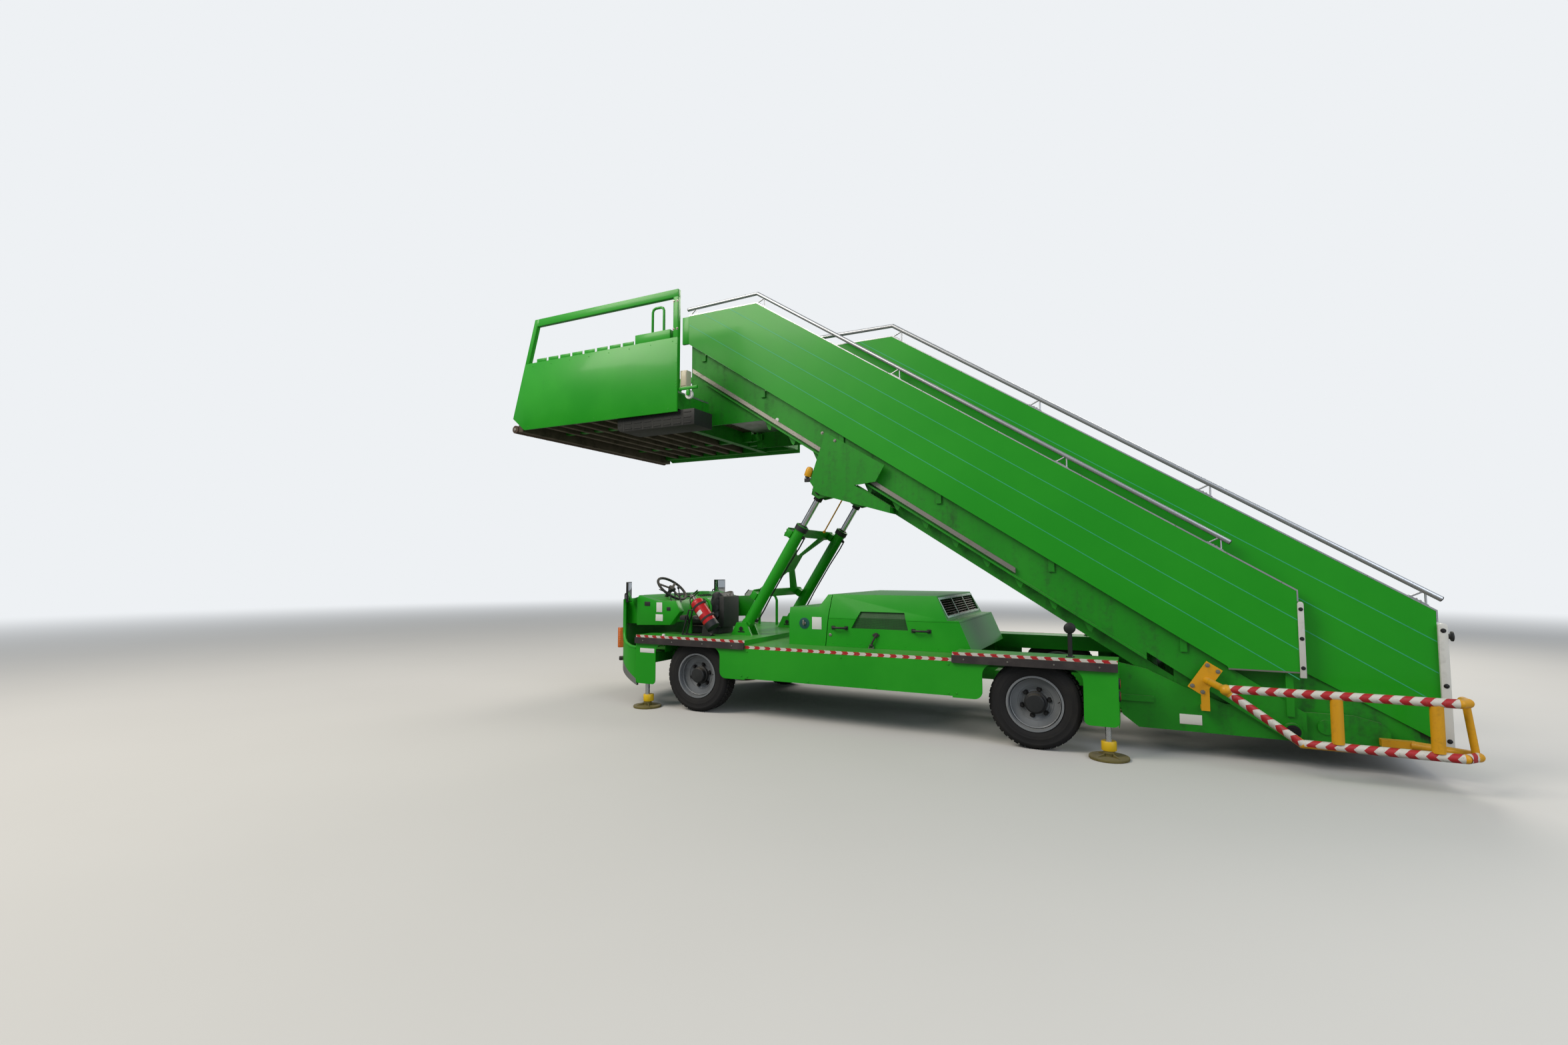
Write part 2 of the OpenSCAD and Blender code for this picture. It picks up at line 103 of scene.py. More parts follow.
def linear(colour: str) -> tuple[float, float, float, float]:
    """Turns a hex colour into linear values.

    Args:
        colour: Colour such as "#30a028".

    Returns:
        Red, green, blue and alpha for a colour socket.
    """
    parts = [int(colour[i : i + 2], 16) / 255 for i in (1, 3, 5)]
    return tuple([c / 12.92 if c < 0.04045 else ((c + 0.055) / 1.055) ** 2.4 for c in parts] + [1.0])


def upper_line(x: float) -> float:
    """Returns the height of the upper nosing line at x, in metres."""
    return 3.4 - RISE_PER_RUN * (x + 1.4)


def lower_line(x: float) -> float:
    """Returns the height of the lower nosing line at x, in metres."""
    return upper_line(x) + 0.41


def upper_edge(x: float) -> float:
    """Returns the height of the upper side panels' top edge at x."""
    return upper_line(max(x, UPPER_KNEE)) + PANEL_TOP


def lower_edge(x: float) -> float:
    """Returns the height of the lower side panels' top edge at x."""
    return lower_line(max(x, LOWER_KNEE)) + PANEL_TOP


def add_node(
    tree: bpy.types.NodeTree, kind: str, settings: Settings = None, inputs: Settings = None
) -> bpy.types.Node:
    """Adds a node to a tree.

    Args:
        tree: Tree of a material, a world or a repeat.
        kind: Blender's node type.
        settings: Properties of the node, set first.
        inputs: Values or links of its sockets, by name or number.

    Returns:
        The new node.
    """
    made = tree.nodes.new(kind)
    for key, value in (settings or {}).items():
        setattr(made, key, value)
    for key, value in (inputs or {}).items():
        if isinstance(value, bpy.types.NodeSocket):
            tree.links.new(value, made.inputs[key])
        else:
            made.inputs[key].default_value = value
    return made


def add_object(name: str, data: bpy.types.ID) -> bpy.types.Object:
    """Links a new object with that data to the scene."""
    made = bpy.data.objects.new(name, data)
    bpy.context.scene.collection.objects.link(made)
    return made


def evaluated(thing: bpy.types.Object) -> bpy.types.Mesh:
    """Returns a plain mesh of an object with its modifiers applied."""
    return bpy.data.meshes.new_from_object(thing.evaluated_get(bpy.context.evaluated_depsgraph_get()))


# ---------------------------------------------------------------- shaders


class Term:
    """A shader value that takes part in Python arithmetic."""

    def __init__(self, shader: "Shader", socket: bpy.types.NodeSocket) -> None:
        """Wraps the socket of a node of that shader."""
        self.shader = shader
        self.socket = socket

    def __add__(self, other: Any) -> "Term":
        """Returns self + other."""
        return self.shader.math("ADD", self, other)

    __radd__ = __add__

    def __sub__(self, other: Any) -> "Term":
        """Returns self - other."""
        return self.shader.math("SUBTRACT", self, other)

    def __rsub__(self, other: Any) -> "Term":
        """Returns other - self."""
        return self.shader.math("SUBTRACT", other, self)

    def __mul__(self, other: Any) -> "Term":
        """Returns self * other."""
        return self.shader.math("MULTIPLY", self, other)

    __rmul__ = __mul__

    def __truediv__(self, other: Any) -> "Term":
        """Returns self / other."""
        return self.shader.math("DIVIDE", self, other)

    def __rtruediv__(self, other: Any) -> "Term":
        """Returns other / self."""
        return self.shader.math("DIVIDE", other, self)

    def __gt__(self, other: Any) -> "Term":
        """Returns 1 where self is above other."""
        return self.shader.math("GREATER_THAN", self, other)

    def __abs__(self) -> "Term":
        """Returns the size without its sign."""
        return self.shader.math("ABSOLUTE", self)

    def fraction(self) -> "Term":
        """Returns the part after the point."""
        return self.shader.math("FRACT", self)

    def ramp(self, low: float, high: float) -> "Term":
        """Returns a smooth step from 0 at low to 1 at high."""
        return Term(
            self.shader,
            self.shader.node(
                "ShaderNodeMapRange",
                {"interpolation_type": "SMOOTHSTEP"},
                {"Value": self, "From Min": low, "From Max": high},
            ).outputs["Result"],
        )


class Shader:
    """A material under construction."""

    def __init__(self, name: str) -> None:
        """Starts an empty node material of that name."""
        self.material = bpy.data.materials.new(name)
        self.material.use_nodes = True
        self.tree = self.material.node_tree
        self.tree.nodes.clear()
        self.output = self.node("ShaderNodeOutputMaterial")
        self.coords = self.node("ShaderNodeTexCoord").outputs["Object"]

    def node(self, kind: str, settings: Settings = None, inputs: Settings = None) -> bpy.types.Node:
        """Adds a node.

        Args:
            kind: Blender's node type.
            settings: Properties of the node, set first.
            inputs: Values or links of its sockets, by name or number.

        Returns:
            The new node.
        """
        plain = {key: value.socket if isinstance(value, Term) else value for key, value in (inputs or {}).items()}
        return add_node(self.tree, kind, settings, plain)

    def math(self, operation: str, first: Any, second: Any = 0.0) -> Term:
        """Returns a Math node's value for two numbers or terms."""
        return Term(self, self.node("ShaderNodeMath", {"operation": operation}, {0: first, 1: second}).outputs[0])

    def axis(self, name: str) -> Term:
        """Returns the object coordinate of that name, X, Y or Z."""
        return Term(self, self.node("ShaderNodeSeparateXYZ", None, {0: self.coords}).outputs[name])

    def noise(self, scale: float, detail: float = 3.0, stretch: Point = (1.0, 1.0, 1.0), rough: float = 0.55) -> Term:
        """Returns a noise value on object coordinates.

        Args:
            scale: Features per metre.
            detail: Octaves.
            stretch: Factor on each axis.
            rough: Weight of the fine octaves.

        Returns:
            The value, from 0 to 1.
        """
        where = self.coords
        if tuple(stretch) != (1.0, 1.0, 1.0):
            where = self.node("ShaderNodeMapping", None, {"Vector": where, "Scale": stretch}).outputs[0]
        made = self.node(
            "ShaderNodeTexNoise", None, {"Vector": where, "Scale": scale, "Detail": detail, "Roughness": rough}
        )
        return Term(self, made.outputs[0])

    def mix(self, factor: Any, first: Any, second: Any) -> bpy.types.NodeSocket:
        """Mixes two colours.

        Args:
            factor: Share of the second colour.
            first: Colour or colour socket.
            second: Colour or colour socket.

        Returns:
            The mixed colour's socket.
        """
        made = self.node("ShaderNodeMix", {"data_type": "RGBA"}, {0: factor, 6: first, 7: second})
        return made.outputs[2]

    def facing_up(self, low: float = 0.55, high: float = 0.95) -> Term:
        """Returns 1 on surfaces that face the sky."""
        normal = self.node("ShaderNodeNewGeometry").outputs["Normal"]
        return Term(self, self.node("ShaderNodeSeparateXYZ", None, {0: normal}).outputs["Z"]).ramp(low, high)

    def bump(self, height: Any, strength: float, distance: float) -> bpy.types.NodeSocket:
        """Returns a normal bent by that height."""
        return self.node(
            "ShaderNodeBump", None, {"Strength": strength, "Distance": distance, "Height": height}
        ).outputs[0]

    def surface(self, inputs: dict[str, Any]) -> bpy.types.NodeSocket:
        """Returns a Principled surface with these socket values."""
        return self.node("ShaderNodeBsdfPrincipled", None, inputs).outputs[0]

    def close(self, surface: bpy.types.NodeSocket) -> Material:
        """Connects the surface and returns the material."""
        self.tree.links.new(surface, self.output.inputs["Surface"])
        return self.material


@dataclass(frozen=True)
class Paint:
    """Sprayed enamel on sheet metal, with dust above, streaks and worn spots; given a seam height, also a dark band
    under it: painted shadow with dirt drips.
    """

    name: str
    colour: str
    faded: str
    grime: str = "#1c211a"
    dirt: float = 0.15
    dust: float = 0.25
    rough: float = 0.34
    coat: float = 0.12
    # Height of a line along the slope; under it a dark band is painted, painted shadow under the panels broken up by
    # dirt drips.
    seam: float | None = None

    def surface(self, s: Shader) -> bpy.types.NodeSocket:
        """Builds the enamel's surface in that shader."""
        cloud = s.noise(1.3, 4.0)
        streak = s.noise(9.0, 4.0, (1.0, 1.0, 0.09))
        spots = s.noise(26.0, 6.0, rough=0.68)
        base = s.mix(cloud.ramp(0.35, 0.7) * 0.45, linear(self.colour), linear(self.faded))
        soot = (streak * 0.55 + spots * 0.45).ramp(0.60 - 0.2 * self.dirt, 0.78) * self.dirt
        base = s.mix(soot, base, linear(self.grime))
        # Dark band under the seam line, darkest at the line and fading downwards: painted shadow under the panels
        # above, with dirt drips through it.
        if self.seam is not None:
            below = self.seam - (s.axis("Z") + (s.axis("X") - SHIFT) * RISE_PER_RUN)
            drips = s.noise(7.0, 5.0, (1.0, 1.0, 0.25), 0.62)
            dust_and_shadow_film = (below * -5.0 + drips * 1.7).ramp(0.42, 0.78) * (below > -0.012)
            base = s.mix(dust_and_shadow_film * 0.95, base, linear("#0d0f0b"))
        dust_and_shadow_film = s.facing_up() * (cloud * 0.6 + spots * 0.4).ramp(0.3, 0.62) * self.dust
        base = s.mix(dust_and_shadow_film, base, linear("#8d8876"))
        chip = spots.ramp(0.74, 0.78) * 0.5
        base = s.mix(chip, base, linear("#5d5a50"))
        peel = s.noise(240.0, 2.0) * 0.35 + s.noise(3.0, 2.0)
        return s.surface(
            {
                "Base Color": base,
                "Roughness": dust_and_shadow_film * 0.5 + soot * 0.4 + cloud * 0.12 + self.rough,
                "Coat Weight": self.coat,
                "Coat Roughness": 0.12,
                "Specular IOR Level": 0.32,
                "Normal": s.bump(peel, 0.12, 0.004),
            }
        )

    def material(self) -> Material:
        """Returns the finished material."""
        s = Shader(self.name)
        return s.close(self.surface(s))


@dataclass(frozen=True)
class Rubber:
    """Rubber or hard plastic with dust in its pores."""

    name: str
    colour: str
    pale: str
    rough: float = 0.72
    grain: float = 160.0

    def surface(self, s: Shader) -> bpy.types.NodeSocket:
        """Builds the rubber's surface in that shader."""
        cloud = s.noise(6.0, 5.0)
        pores = s.noise(self.grain, 3.0)
        base = s.mix(cloud.ramp(0.42, 0.78) * 0.6, linear(self.colour), linear(self.pale))
        base = s.mix(s.facing_up() * 0.35, base, linear("#77705f"))
        return s.surface(
            {
                "Base Color": base,
                "Roughness": cloud * 0.2 + self.rough,
                "Normal": s.bump(pores, 0.25, 0.002),
            }
        )

    def material(self) -> Material:
        """Returns the finished material."""
        s = Shader(self.name)
        return s.close(self.surface(s))


@dataclass(frozen=True)
class Metal:
    """Bare or plated metal with handling marks."""

    name: str
    colour: str
    stain: str
    rough: float = 0.3
    marks: float = 0.4
    brushed: tuple[float, float, float] = (1.0, 1.0, 1.0)

    def surface(self, s: Shader) -> bpy.types.NodeSocket:
        """Builds the metal's surface in that shader."""
        cloud = s.noise(5.0, 5.0)
        lines = s.noise(180.0, 3.0, self.brushed)
        worn = (cloud * 0.6 + lines * 0.4).ramp(0.45, 0.68) * self.marks
        return s.surface(
            {
                "Base Color": s.mix(worn, linear(self.colour), linear(self.stain)),
                "Metallic": 1.0 - worn * 0.5,
                "Roughness": worn * 0.5 + lines * 0.12 + self.rough,
                "Normal": s.bump(lines, 0.10, 0.001),
            }
        )

    def material(self) -> Material:
        """Returns the finished material."""
        s = Shader(self.name)
        return s.close(self.surface(s))


@dataclass(frozen=True)
class Split:
    """Two finishes on one casting, parted by a plane."""

    name: str
    low: Any
    high: Any
    direction: tuple[float, float, float]
    place: float

    def material(self) -> Material:
        """Returns the finished material."""
        s = Shader(self.name)
        x, y, z = self.direction
        share = (s.axis("X") * x + s.axis("Y") * y + s.axis("Z") * z) > self.place
        both = s.node("ShaderNodeMixShader", None, {0: share, 1: self.low.surface(s), 2: self.high.surface(s)})
        return s.close(both.outputs[0])


@dataclass(frozen=True)
class Glow:
    """Coloured lamp lens, ribbed inside."""

    name: str
    colour: str
    deep: str

    def material(self) -> Material:
        """Returns the finished material."""
        s = Shader(self.name)
        ribs = (s.axis("Z") * 90.0).fraction().ramp(0.2, 0.8)
        return s.close(
            s.surface(
                {
                    "Base Color": s.mix(ribs * 0.6 + s.noise(20.0) * 0.2, linear(self.colour), linear(self.deep)),
                    "Roughness": ribs * 0.1 + 0.12,
                    "Coat Weight": 0.5,
                    "Normal": s.bump(ribs, 0.3, 0.002),
                }
            )
        )


@dataclass(frozen=True)
class ChevronTape:
    """Red and white warning tape, with its arrows along the piece's own UV map."""

    name: str
    pitch: float
    width: float
    heading: Heading

    def material(self) -> Material:
        """Returns the finished material."""
        s = Shader(self.name)
        place = s.node("ShaderNodeUVMap", {"uv_map": "run"}).outputs[0]
        split = s.node("ShaderNodeSeparateXYZ", None, {0: place}).outputs
        along, across = Term(s, split["X"]), Term(s, split["Y"])
        lean = abs(across - 0.5) * (self.width * 1.1 * self.heading.value)
        red = ((along - lean) / self.pitch + 100.0).fraction().ramp(0.47, 0.5)
        wear = s.noise(38.0, 6.0, rough=0.7)
        base = s.mix(red, linear("#a8161c"), linear("#c9c5ba"))
        base = s.mix(wear.ramp(0.52, 0.72) * 0.45, base, linear("#6f6a5e"))
        return s.close(
            s.surface(
                {
                    "Base Color": base,
                    "Roughness": wear * 0.3 + 0.35,
                    "Normal": s.bump(s.noise(400.0), 0.1, 0.001),
                }
            )
        )


@dataclass(frozen=True)
class Glass:
    """Silvered or clear glass of a mirror or a lamp."""

    name: str
    tint: str
    metallic: float

    def material(self) -> Material:
        """Returns the finished material."""
        s = Shader(self.name)
        smear = s.noise(14.0, 5.0).ramp(0.45, 0.75)
        return s.close(
            s.surface(
                {
                    "Base Color": s.mix(smear * 0.3, linear(self.tint), linear("#8f8f88")),
                    "Metallic": self.metallic,
                    "Roughness": smear * 0.25 + 0.03,
                    "Coat Weight": 0.6,
                    "Normal": s.bump(s.noise(60.0), 0.03, 0.001),
                }
            )
        )


@dataclass(frozen=True)
class Mesh:
    """Painted sheet with a close grid of punched holes; the holes are painted near black, as painted shade of the
    dark inside behind them.
    """

    name: str
    colour: str
    pitch: float

    def material(self) -> Material:
        """Returns the finished material."""
        s = Shader(self.name)
        across = (s.axis("X") / self.pitch).fraction() - 0.5
        along = (s.axis("Z") / self.pitch).fraction() - 0.5
        hole = (across * across + along * along).ramp(0.13, 0.09)
        cloud = s.noise(5.0, 4.0)
        base = s.mix(cloud.ramp(0.3, 0.7) * 0.4, linear(self.colour), linear("#0f3a10"))
        return s.close(
            s.surface(
                {
                    # The holes are painted near black: painted shade of the housing's inside seen through them.
                    "Base Color": s.mix(hole * 0.85, base, linear("#040604")),
                    "Roughness": cloud * 0.2 + 0.4,
                    "Normal": s.bump(1.0 - hole, 0.5, 0.002),
                }
            )
        )


def recipe(look: Any, slot: str | None = None) -> Any:
    """Returns a field that makes the look's material when the finishes are made.

    Args:
        look: Paint, metal or the like.
        slot: Material slot of the record that goes with it, if any.

    Returns:
        The field.
    """
    return field(default_factory=look.material, metadata={"slot": slot})


@dataclass
class Finishes:
    """Every material of the machine, made once."""

    green: Material = recipe(Paint("green_enamel", GREEN, FADED), "green_paint")
    grimy: Material = recipe(Paint("green_enamel_grimy", GRIMY, WORN, dirt=0.75, dust=0.35, rough=0.4), "green_paint")
    panel: Material = recipe(
        Paint("green_panel_enamel", GREEN, "#1f9a14", dirt=0.08, dust=0.1, rough=0.3), "green_paint"
    )
    # Lower frame's enamel, with a painted shadow band under the panels' line.
    seamed: Material = recipe(
        Paint("green_enamel_under_panels", GRIMY, WORN, dirt=0.75, dust=0.3, rough=0.4, seam=2.985), "green_paint"
    )
    wall: Material = recipe(Split(
        "front_wall_finish",
        Metal("galvanised_edge", "#9a9c98", "#6f6d62", 0.45, 0.5),
        Paint("front_wall_enamel", GREEN, FADED),
        (0.487, 0.0, 0.873),
        0.487 * (SHIFT - 2.815) + 0.873 * 0.23 + 0.055,
    ), "green_paint")
    bottle: Material = recipe(Split(
        "bottle_finish",
        Rubber("bottle_boot", "#16181d", "#2b2c30", 0.5),
        Paint("bottle_red", "#b3121a", "#a3262a", dirt=0.3, rough=0.3),
        (-0.634, 0.0, 0.773),
        -0.634 * (SHIFT - 1.952) + 0.773 * 0.884 + 0.075,
    ), "red_paint")
    dark: Material = recipe(
        Paint("black_frame_paint", "#1d1f1e", "#34352f", "#4a4538", dirt=0.4, dust=0.4, rough=0.5, coat=0.0),
        "dark_paint"
    )
    yellow: Material = recipe(
        Paint("yellow_enamel", "#d69a10", "#c48d1e", dirt=0.45, dust=0.2, rough=0.4), "yellow_paint"
    )
    white: Material = recipe(
        Paint("white_enamel", "#cfcfc8", "#b9b8ae", "#4b463c", dirt=0.4, dust=0.2, rough=0.42), "white_paint"
    )
    weathered: Material = recipe(Metal("weathered_planks", "#6f675a", "#3c352c", 0.55, 0.8), "aluminium")
    collar: Material = recipe(Paint("collar_yellow", "#d9b312", "#c4a21c", dirt=0.3, rough=0.4), "yellow_paint")
    foot: Material = recipe(
        Paint("dirty_foot_yellow", "#6e6430", "#575238", dirt=0.7, dust=0.3, rough=0.5), "yellow_paint"
    )
    rim: Material = recipe(
        Paint("silver_rim_paint", "#6f7376", "#7f8180", "#3a342b", dirt=0.6, dust=0.2, rough=0.4), "rim_paint"
    )
    tyre: Material = recipe(Rubber("tyre_rubber", "#121213", "#272521", 0.78, 120.0), "tyre")
    rubber: Material = recipe(Rubber("edge_rubber", "#2b2626", "#4a4541"), "rubber")
    bumper: Material = recipe(Rubber("bumper_rubber", "#3d2e24", "#6a5442"), "rubber")
    vinyl: Material = recipe(Rubber("seat_vinyl", "#15191a", "#25292a", 0.42, 320.0), "seat_cover")
    aluminium: Material = recipe(
        Metal("milled_aluminium", "#b4b7b9", "#6f6d67", 0.36, 0.5, (0.05, 1.0, 1.0)), "aluminium"
    )
    rail: Material = recipe(Metal("rail_aluminium", "#bcbfc1", "#85888a", 0.32, 0.3), "aluminium")
    chrome: Material = recipe(Metal("chromed_rod", "#dfe2e4", "#9a9a94", 0.07, 0.25), "chrome")
    leg: Material = recipe(Split(
        "stabiliser_leg_finish",
        Paint("leg_yellow", "#6e6430", "#575238", dirt=0.7, dust=0.3, rough=0.45),
        Metal("leg_chrome", "#d9dcde", "#8d8b84", 0.1, 0.35),
        (0.0, 0.0, 1.0),
        0.062,
    ), "chrome")
    amber: Material = recipe(Glow("amber_lens", "#e2781a", "#a8480a"))
    ruby: Material = recipe(Glow("red_lens", "#b0161a", "#6d0a0c"))
    lens: Material = recipe(Glass("lamp_glass", "#c9cfd2", 0.3), "chrome")
    mirror: Material = recipe(Glass("mirror_glass", "#dfe4e6", 1.0), "chrome")
    screen: Material = recipe(Mesh("intake_mesh", "#155a17", 0.009), "green_paint")
    steel: Material = recipe(Metal("zinc_plated_steel", "#96948c", "#66625a", 0.38, 0.6), "chrome")
    black_bolt: Material = recipe(Metal("oiled_steel", "#3a3a3b", "#241f1a", 0.4, 0.6), "dark_paint")
    plastic: Material = recipe(Rubber("black_plastic", "#17191a", "#2c2e2e", 0.45, 240.0), "dark_paint")
    plate: Material = recipe(
        Paint("blank_white_plate", "#d5d6d2", "#c2c3bd", "#5a574c", dirt=0.25, dust=0.1, rough=0.4), "white_paint"
    )
    beige: Material = recipe(Paint("beige_enamel", "#b9b29a", "#a9a28a", dirt=0.3, rough=0.45), "white_paint")
    teal: Material = recipe(Paint("teal_plate", "#1c4f4a", "#27615a", dirt=0.2, rough=0.35), "dark_paint")
    seam: Material = recipe(Paint("plank_seam_enamel", "#2f9f70", "#43b083", dirt=0.3, rough=0.5), "green_paint")
    pale: Material = recipe(Paint("pale_frame_enamel", "#b9d6c4", "#9fc4ae", dirt=0.2, rough=0.4), "white_paint")
    fender_tape: Material = recipe(ChevronTape("fender_chevrons", 0.11, 0.036, Heading.FORWARD), "white_paint")
    middle_tape: Material = recipe(ChevronTape("middle_chevrons", 0.12, 0.03, Heading.REARWARD), "white_paint")
    guard_tape: Material = recipe(ChevronTape("guard_chevrons", 0.11, 0.09, Heading.FORWARD), "white_paint")

    def slot_of(self, finish: Material) -> str | None:
        """Returns the record's slot for one of these finishes."""
        return next(f.metadata["slot"] for f in fields(self) if getattr(self, f.name).name == finish.name)


NODE_FINISH = {
    "green": "lift_barrels barrel_brace skirts deck dashboard engine_cover hood_lid cab_rails cylinder_feet "
    "platform_rails platform_sides",
    "panel": "lower_panels upper_panels",
    "seamed": "lower_frame",
    "wall": "front_wall",
    "grimy": "chassis_frame tail_plates guide_box upper_stringers platform_frame",
    "dark": "front_axle rear_axle knuckle_left knuckle_right engine_block lamps steering_wheel mirrors",
    "rubber": "rubber_strips",
    "bumper": "platform_bumper",
    "tyre": "tyre_fl tyre_fr tyre_rl tyre_rr",
    "rim": "rim_fl rim_fr rim_rl rim_rr",
    "yellow": "foot_guard",
    "leg": "leg_fl leg_fr leg_rl leg_rr",
    "vinyl": "driver_seat",
    "bottle": "extinguisher",
    "aluminium": "lower_steps upper_steps platform_floor",
    "rail": "lower_rails upper_rails",
    "white": "lower_posts upper_posts",
    "chrome": "lift_rods",
}


def dress_nodes(frame: dict[str, Any], finishes: Finishes) -> None:
    """Gives every CAD node its procedural material.

    Args:
        finishes: The machine's materials.
    """
    for finish, names in NODE_FINISH.items():
        for name in names.split():
            slots = frame["nodes"][name].data.materials
            slots.clear()
            slots.append(getattr(finishes, finish))


# ---------------------------------------------------------------- meshes


class Shape:
    """Vertices and faces of one piece, gathered from simple bodies."""

    def __init__(self) -> None:
        """Starts empty."""
        self.bm = bmesh.new()
        self.run = self.bm.loops.layers.uv.new("run")

    def box(self, low: Point, high: Point, place: Matrix | None = None) -> "Shape":
        """Adds a box between two corners, turned and moved by place."""
        lo, hi = Vector(low), Vector(high)
        fit = Matrix.Translation((lo + hi) / 2) @ Matrix.Diagonal((*(hi - lo), 1.0))
        bmesh.ops.create_cube(self.bm, size=1.0, matrix=(place or Matrix.Identity(4)) @ fit)
        return self

    def prism(self, outline: Sequence[Point], depth: float, place: Matrix) -> "Shape":
        """Adds a flat outline in place's XY plane, drawn out along its Z by depth."""
        rings = [[self.bm.verts.new(place @ Vector((x, y, z))) for x, y in outline] for z in (0.0, depth)]
        count = len(outline)
        self.bm.faces.new(rings[0][::-1])
        self.bm.faces.new(rings[1])
        for i in range(count):
            j = (i + 1) % count
            self.bm.faces.new((rings[0][i], rings[0][j], rings[1][j], rings[1][i]))
        return self

    def lathe(self, profile: Sequence[Point], place: Matrix, steps: int = 24, ring: bool = False) -> "Shape":
        """Turns an outline of (radius, height) points round place's Z axis, joined to a ring if asked."""
        rings = []
        for radius, height in profile:
            if radius < 1e-6:
                rings.append([self.bm.verts.new(place @ Vector((0, 0, height)))])
                continue
            turns = [2 * math.pi * i / steps for i in range(steps)]
            rings.append([
                self.bm.verts.new(place @ Vector((radius * math.cos(a), radius * math.sin(a), height))) for a in turns
            ])
        pairs = list(zip(rings, rings[1:])) + ([(rings[-1], rings[0])] if ring else [])
        for a, b in pairs:
            for i in range(steps):
                j = (i + 1) % steps
                corners = [a[i % len(a)], a[j % len(a)], b[j % len(b)], b[i % len(b)]]
                unique = list(dict.fromkeys(corners))
                if len(unique) > 2:
                    self.bm.faces.new(unique)
        return self

    def tube(self, points: Sequence[Point], radius: float, steps: int = 12, capped: bool = True) -> "Shape":
        """Adds a round tube along points, with its length and turn in the UV map.

        Args:
            points: Centre line.
            radius: Radius of the tube.
            steps: Faces round it.
            capped: Closes both ends.

        Returns:
            The shape itself.
        """
        line = [Vector(p) for p in points]
        side = None
        rings, lengths = [], [0.0]
        for i, here in enumerate(line):
            if i:
                lengths.append(lengths[-1] + (here - line[i - 1]).length)
            ahead = (line[min(i + 1, len(line) - 1)] - line[max(i - 1, 0)]).normalized()
            if side is None:
                seed = Vector(RIGHT) if abs(ahead.y) < 0.9 else Vector(UP)
                side = seed
            side = (side - ahead * side.dot(ahead)).normalized()
            up = ahead.cross(side)
            turns = [2 * math.pi * k / steps for k in range(steps)]
            rings.append([self.bm.verts.new(here + (side * math.cos(a) + up * math.sin(a)) * radius) for a in turns])
        for i in range(len(rings) - 1):
            for k in range(steps):
                n = (k + 1) % steps
                face = self.bm.faces.new((rings[i][k], rings[i][n], rings[i + 1][n], rings[i + 1][k]))
                marks = (
                    (lengths[i], k / steps), (lengths[i], (k + 1) / steps), (lengths[i + 1], (k + 1) / steps),
                    (lengths[i + 1], k / steps)
                )
                for loop, mark in zip(face.loops, marks):
                    loop[self.run].uv = mark
        if capped:
            self.bm.faces.new(rings[0][::-1])
            self.bm.faces.new(rings[-1])
        return self

    def sweep(self, points: Sequence[Point], profile: Sequence[Point], outward: Point) -> "Shape":
        """Draws a closed outline along points; each outline point is (out, up, share of the tape's width)."""
        line = [Vector(p) for p in points]
        rings, lengths = [], [0.0]
        for i, here in enumerate(line):
            if i:
                lengths.append(lengths[-1] + (here - line[i - 1]).length)
            ahead = (line[min(i + 1, len(line) - 1)] - line[max(i - 1, 0)]).normalized()
            out = Vector(outward)
            out = (out - ahead * out.dot(ahead)).normalized()
            up = ahead.cross(out)
            if up.z < 0:
                up = -up
            rings.append([self.bm.verts.new(here + out * a + up * b) for a, b, _ in profile])
        count = len(profile)
        for i in range(len(rings) - 1):
            for k in range(count):
                n = (k + 1) % count
                face = self.bm.faces.new((rings[i][k], rings[i][n], rings[i + 1][n], rings[i + 1][k]))
                ends = ((i, k), (i, n), (i + 1, n), (i + 1, k))
                for loop, (row, col) in zip(face.loops, ends):
                    loop[self.run].uv = (lengths[row], profile[col][2])
        for ring, row in ((rings[0][::-1], 0), (rings[-1], -1)):
            face = self.bm.faces.new(ring)
            for loop in face.loops:
                loop[self.run].uv = (lengths[row], 0.5)
        return self

    def plate(self, outline: Sequence[Point], y0: float, y1: float) -> "Shape":
        """Adds an outline in side view (x, z), standing between two places across the machine."""
        return self.prism(outline, y1 - y0, upright(y1))

    def copy(self) -> "Shape":
        """Returns a second shape with the same bodies."""
        other = Shape()
        other.bm.free()
        other.bm = self.bm.copy()
        other.run = other.bm.loops.layers.uv["run"]
        return other

    def join(self, other: "Shape") -> "Shape":
        """Takes over another shape's bodies."""
        mesh = bpy.data.meshes.new("joined")
        other.bm.to_mesh(mesh)
        other.bm.free()
        self.bm.from_mesh(mesh)
        bpy.data.meshes.remove(mesh)
        return self

    def carve(self, tool: "Shape", operation: str = "DIFFERENCE") -> "Shape":
        """Cuts this shape's bodies with another shape, which is used up."""
        made = []
        for shape in (self, tool):
            bmesh.ops.recalc_face_normals(shape.bm, faces=shape.bm.faces)
            mesh = bpy.data.meshes.new("carving")
            shape.bm.to_mesh(mesh)
            made.append(add_object("carving", mesh))
        tool.bm.free()
        body, cutter = made
        cut = body.modifiers.new("cut", "BOOLEAN")
        cut.operation, cut.solver, cut.object = operation, "EXACT", cutter
        cut.use_self = True
        result = evaluated(body)
        self.bm.clear()
        self.bm.from_mesh(result)
        bpy.data.meshes.remove(result)
        for thing in made:
            mesh = thing.data
            bpy.data.objects.remove(thing)
            bpy.data.meshes.remove(mesh)
        return self

    def mirrored(self) -> "Shape":
        """Adds the same bodies on the other side of the machine."""
        copy = bmesh.ops.duplicate(self.bm, geom=self.bm.verts[:] + self.bm.edges[:] + self.bm.faces[:])["geom"]
        verts = [g for g in copy if isinstance(g, bmesh.types.BMVert)]
        faces = [g for g in copy if isinstance(g, bmesh.types.BMFace)]
        for v in verts:
            v.co.y = -v.co.y
        bmesh.ops.reverse_faces(self.bm, faces=faces)
        return self

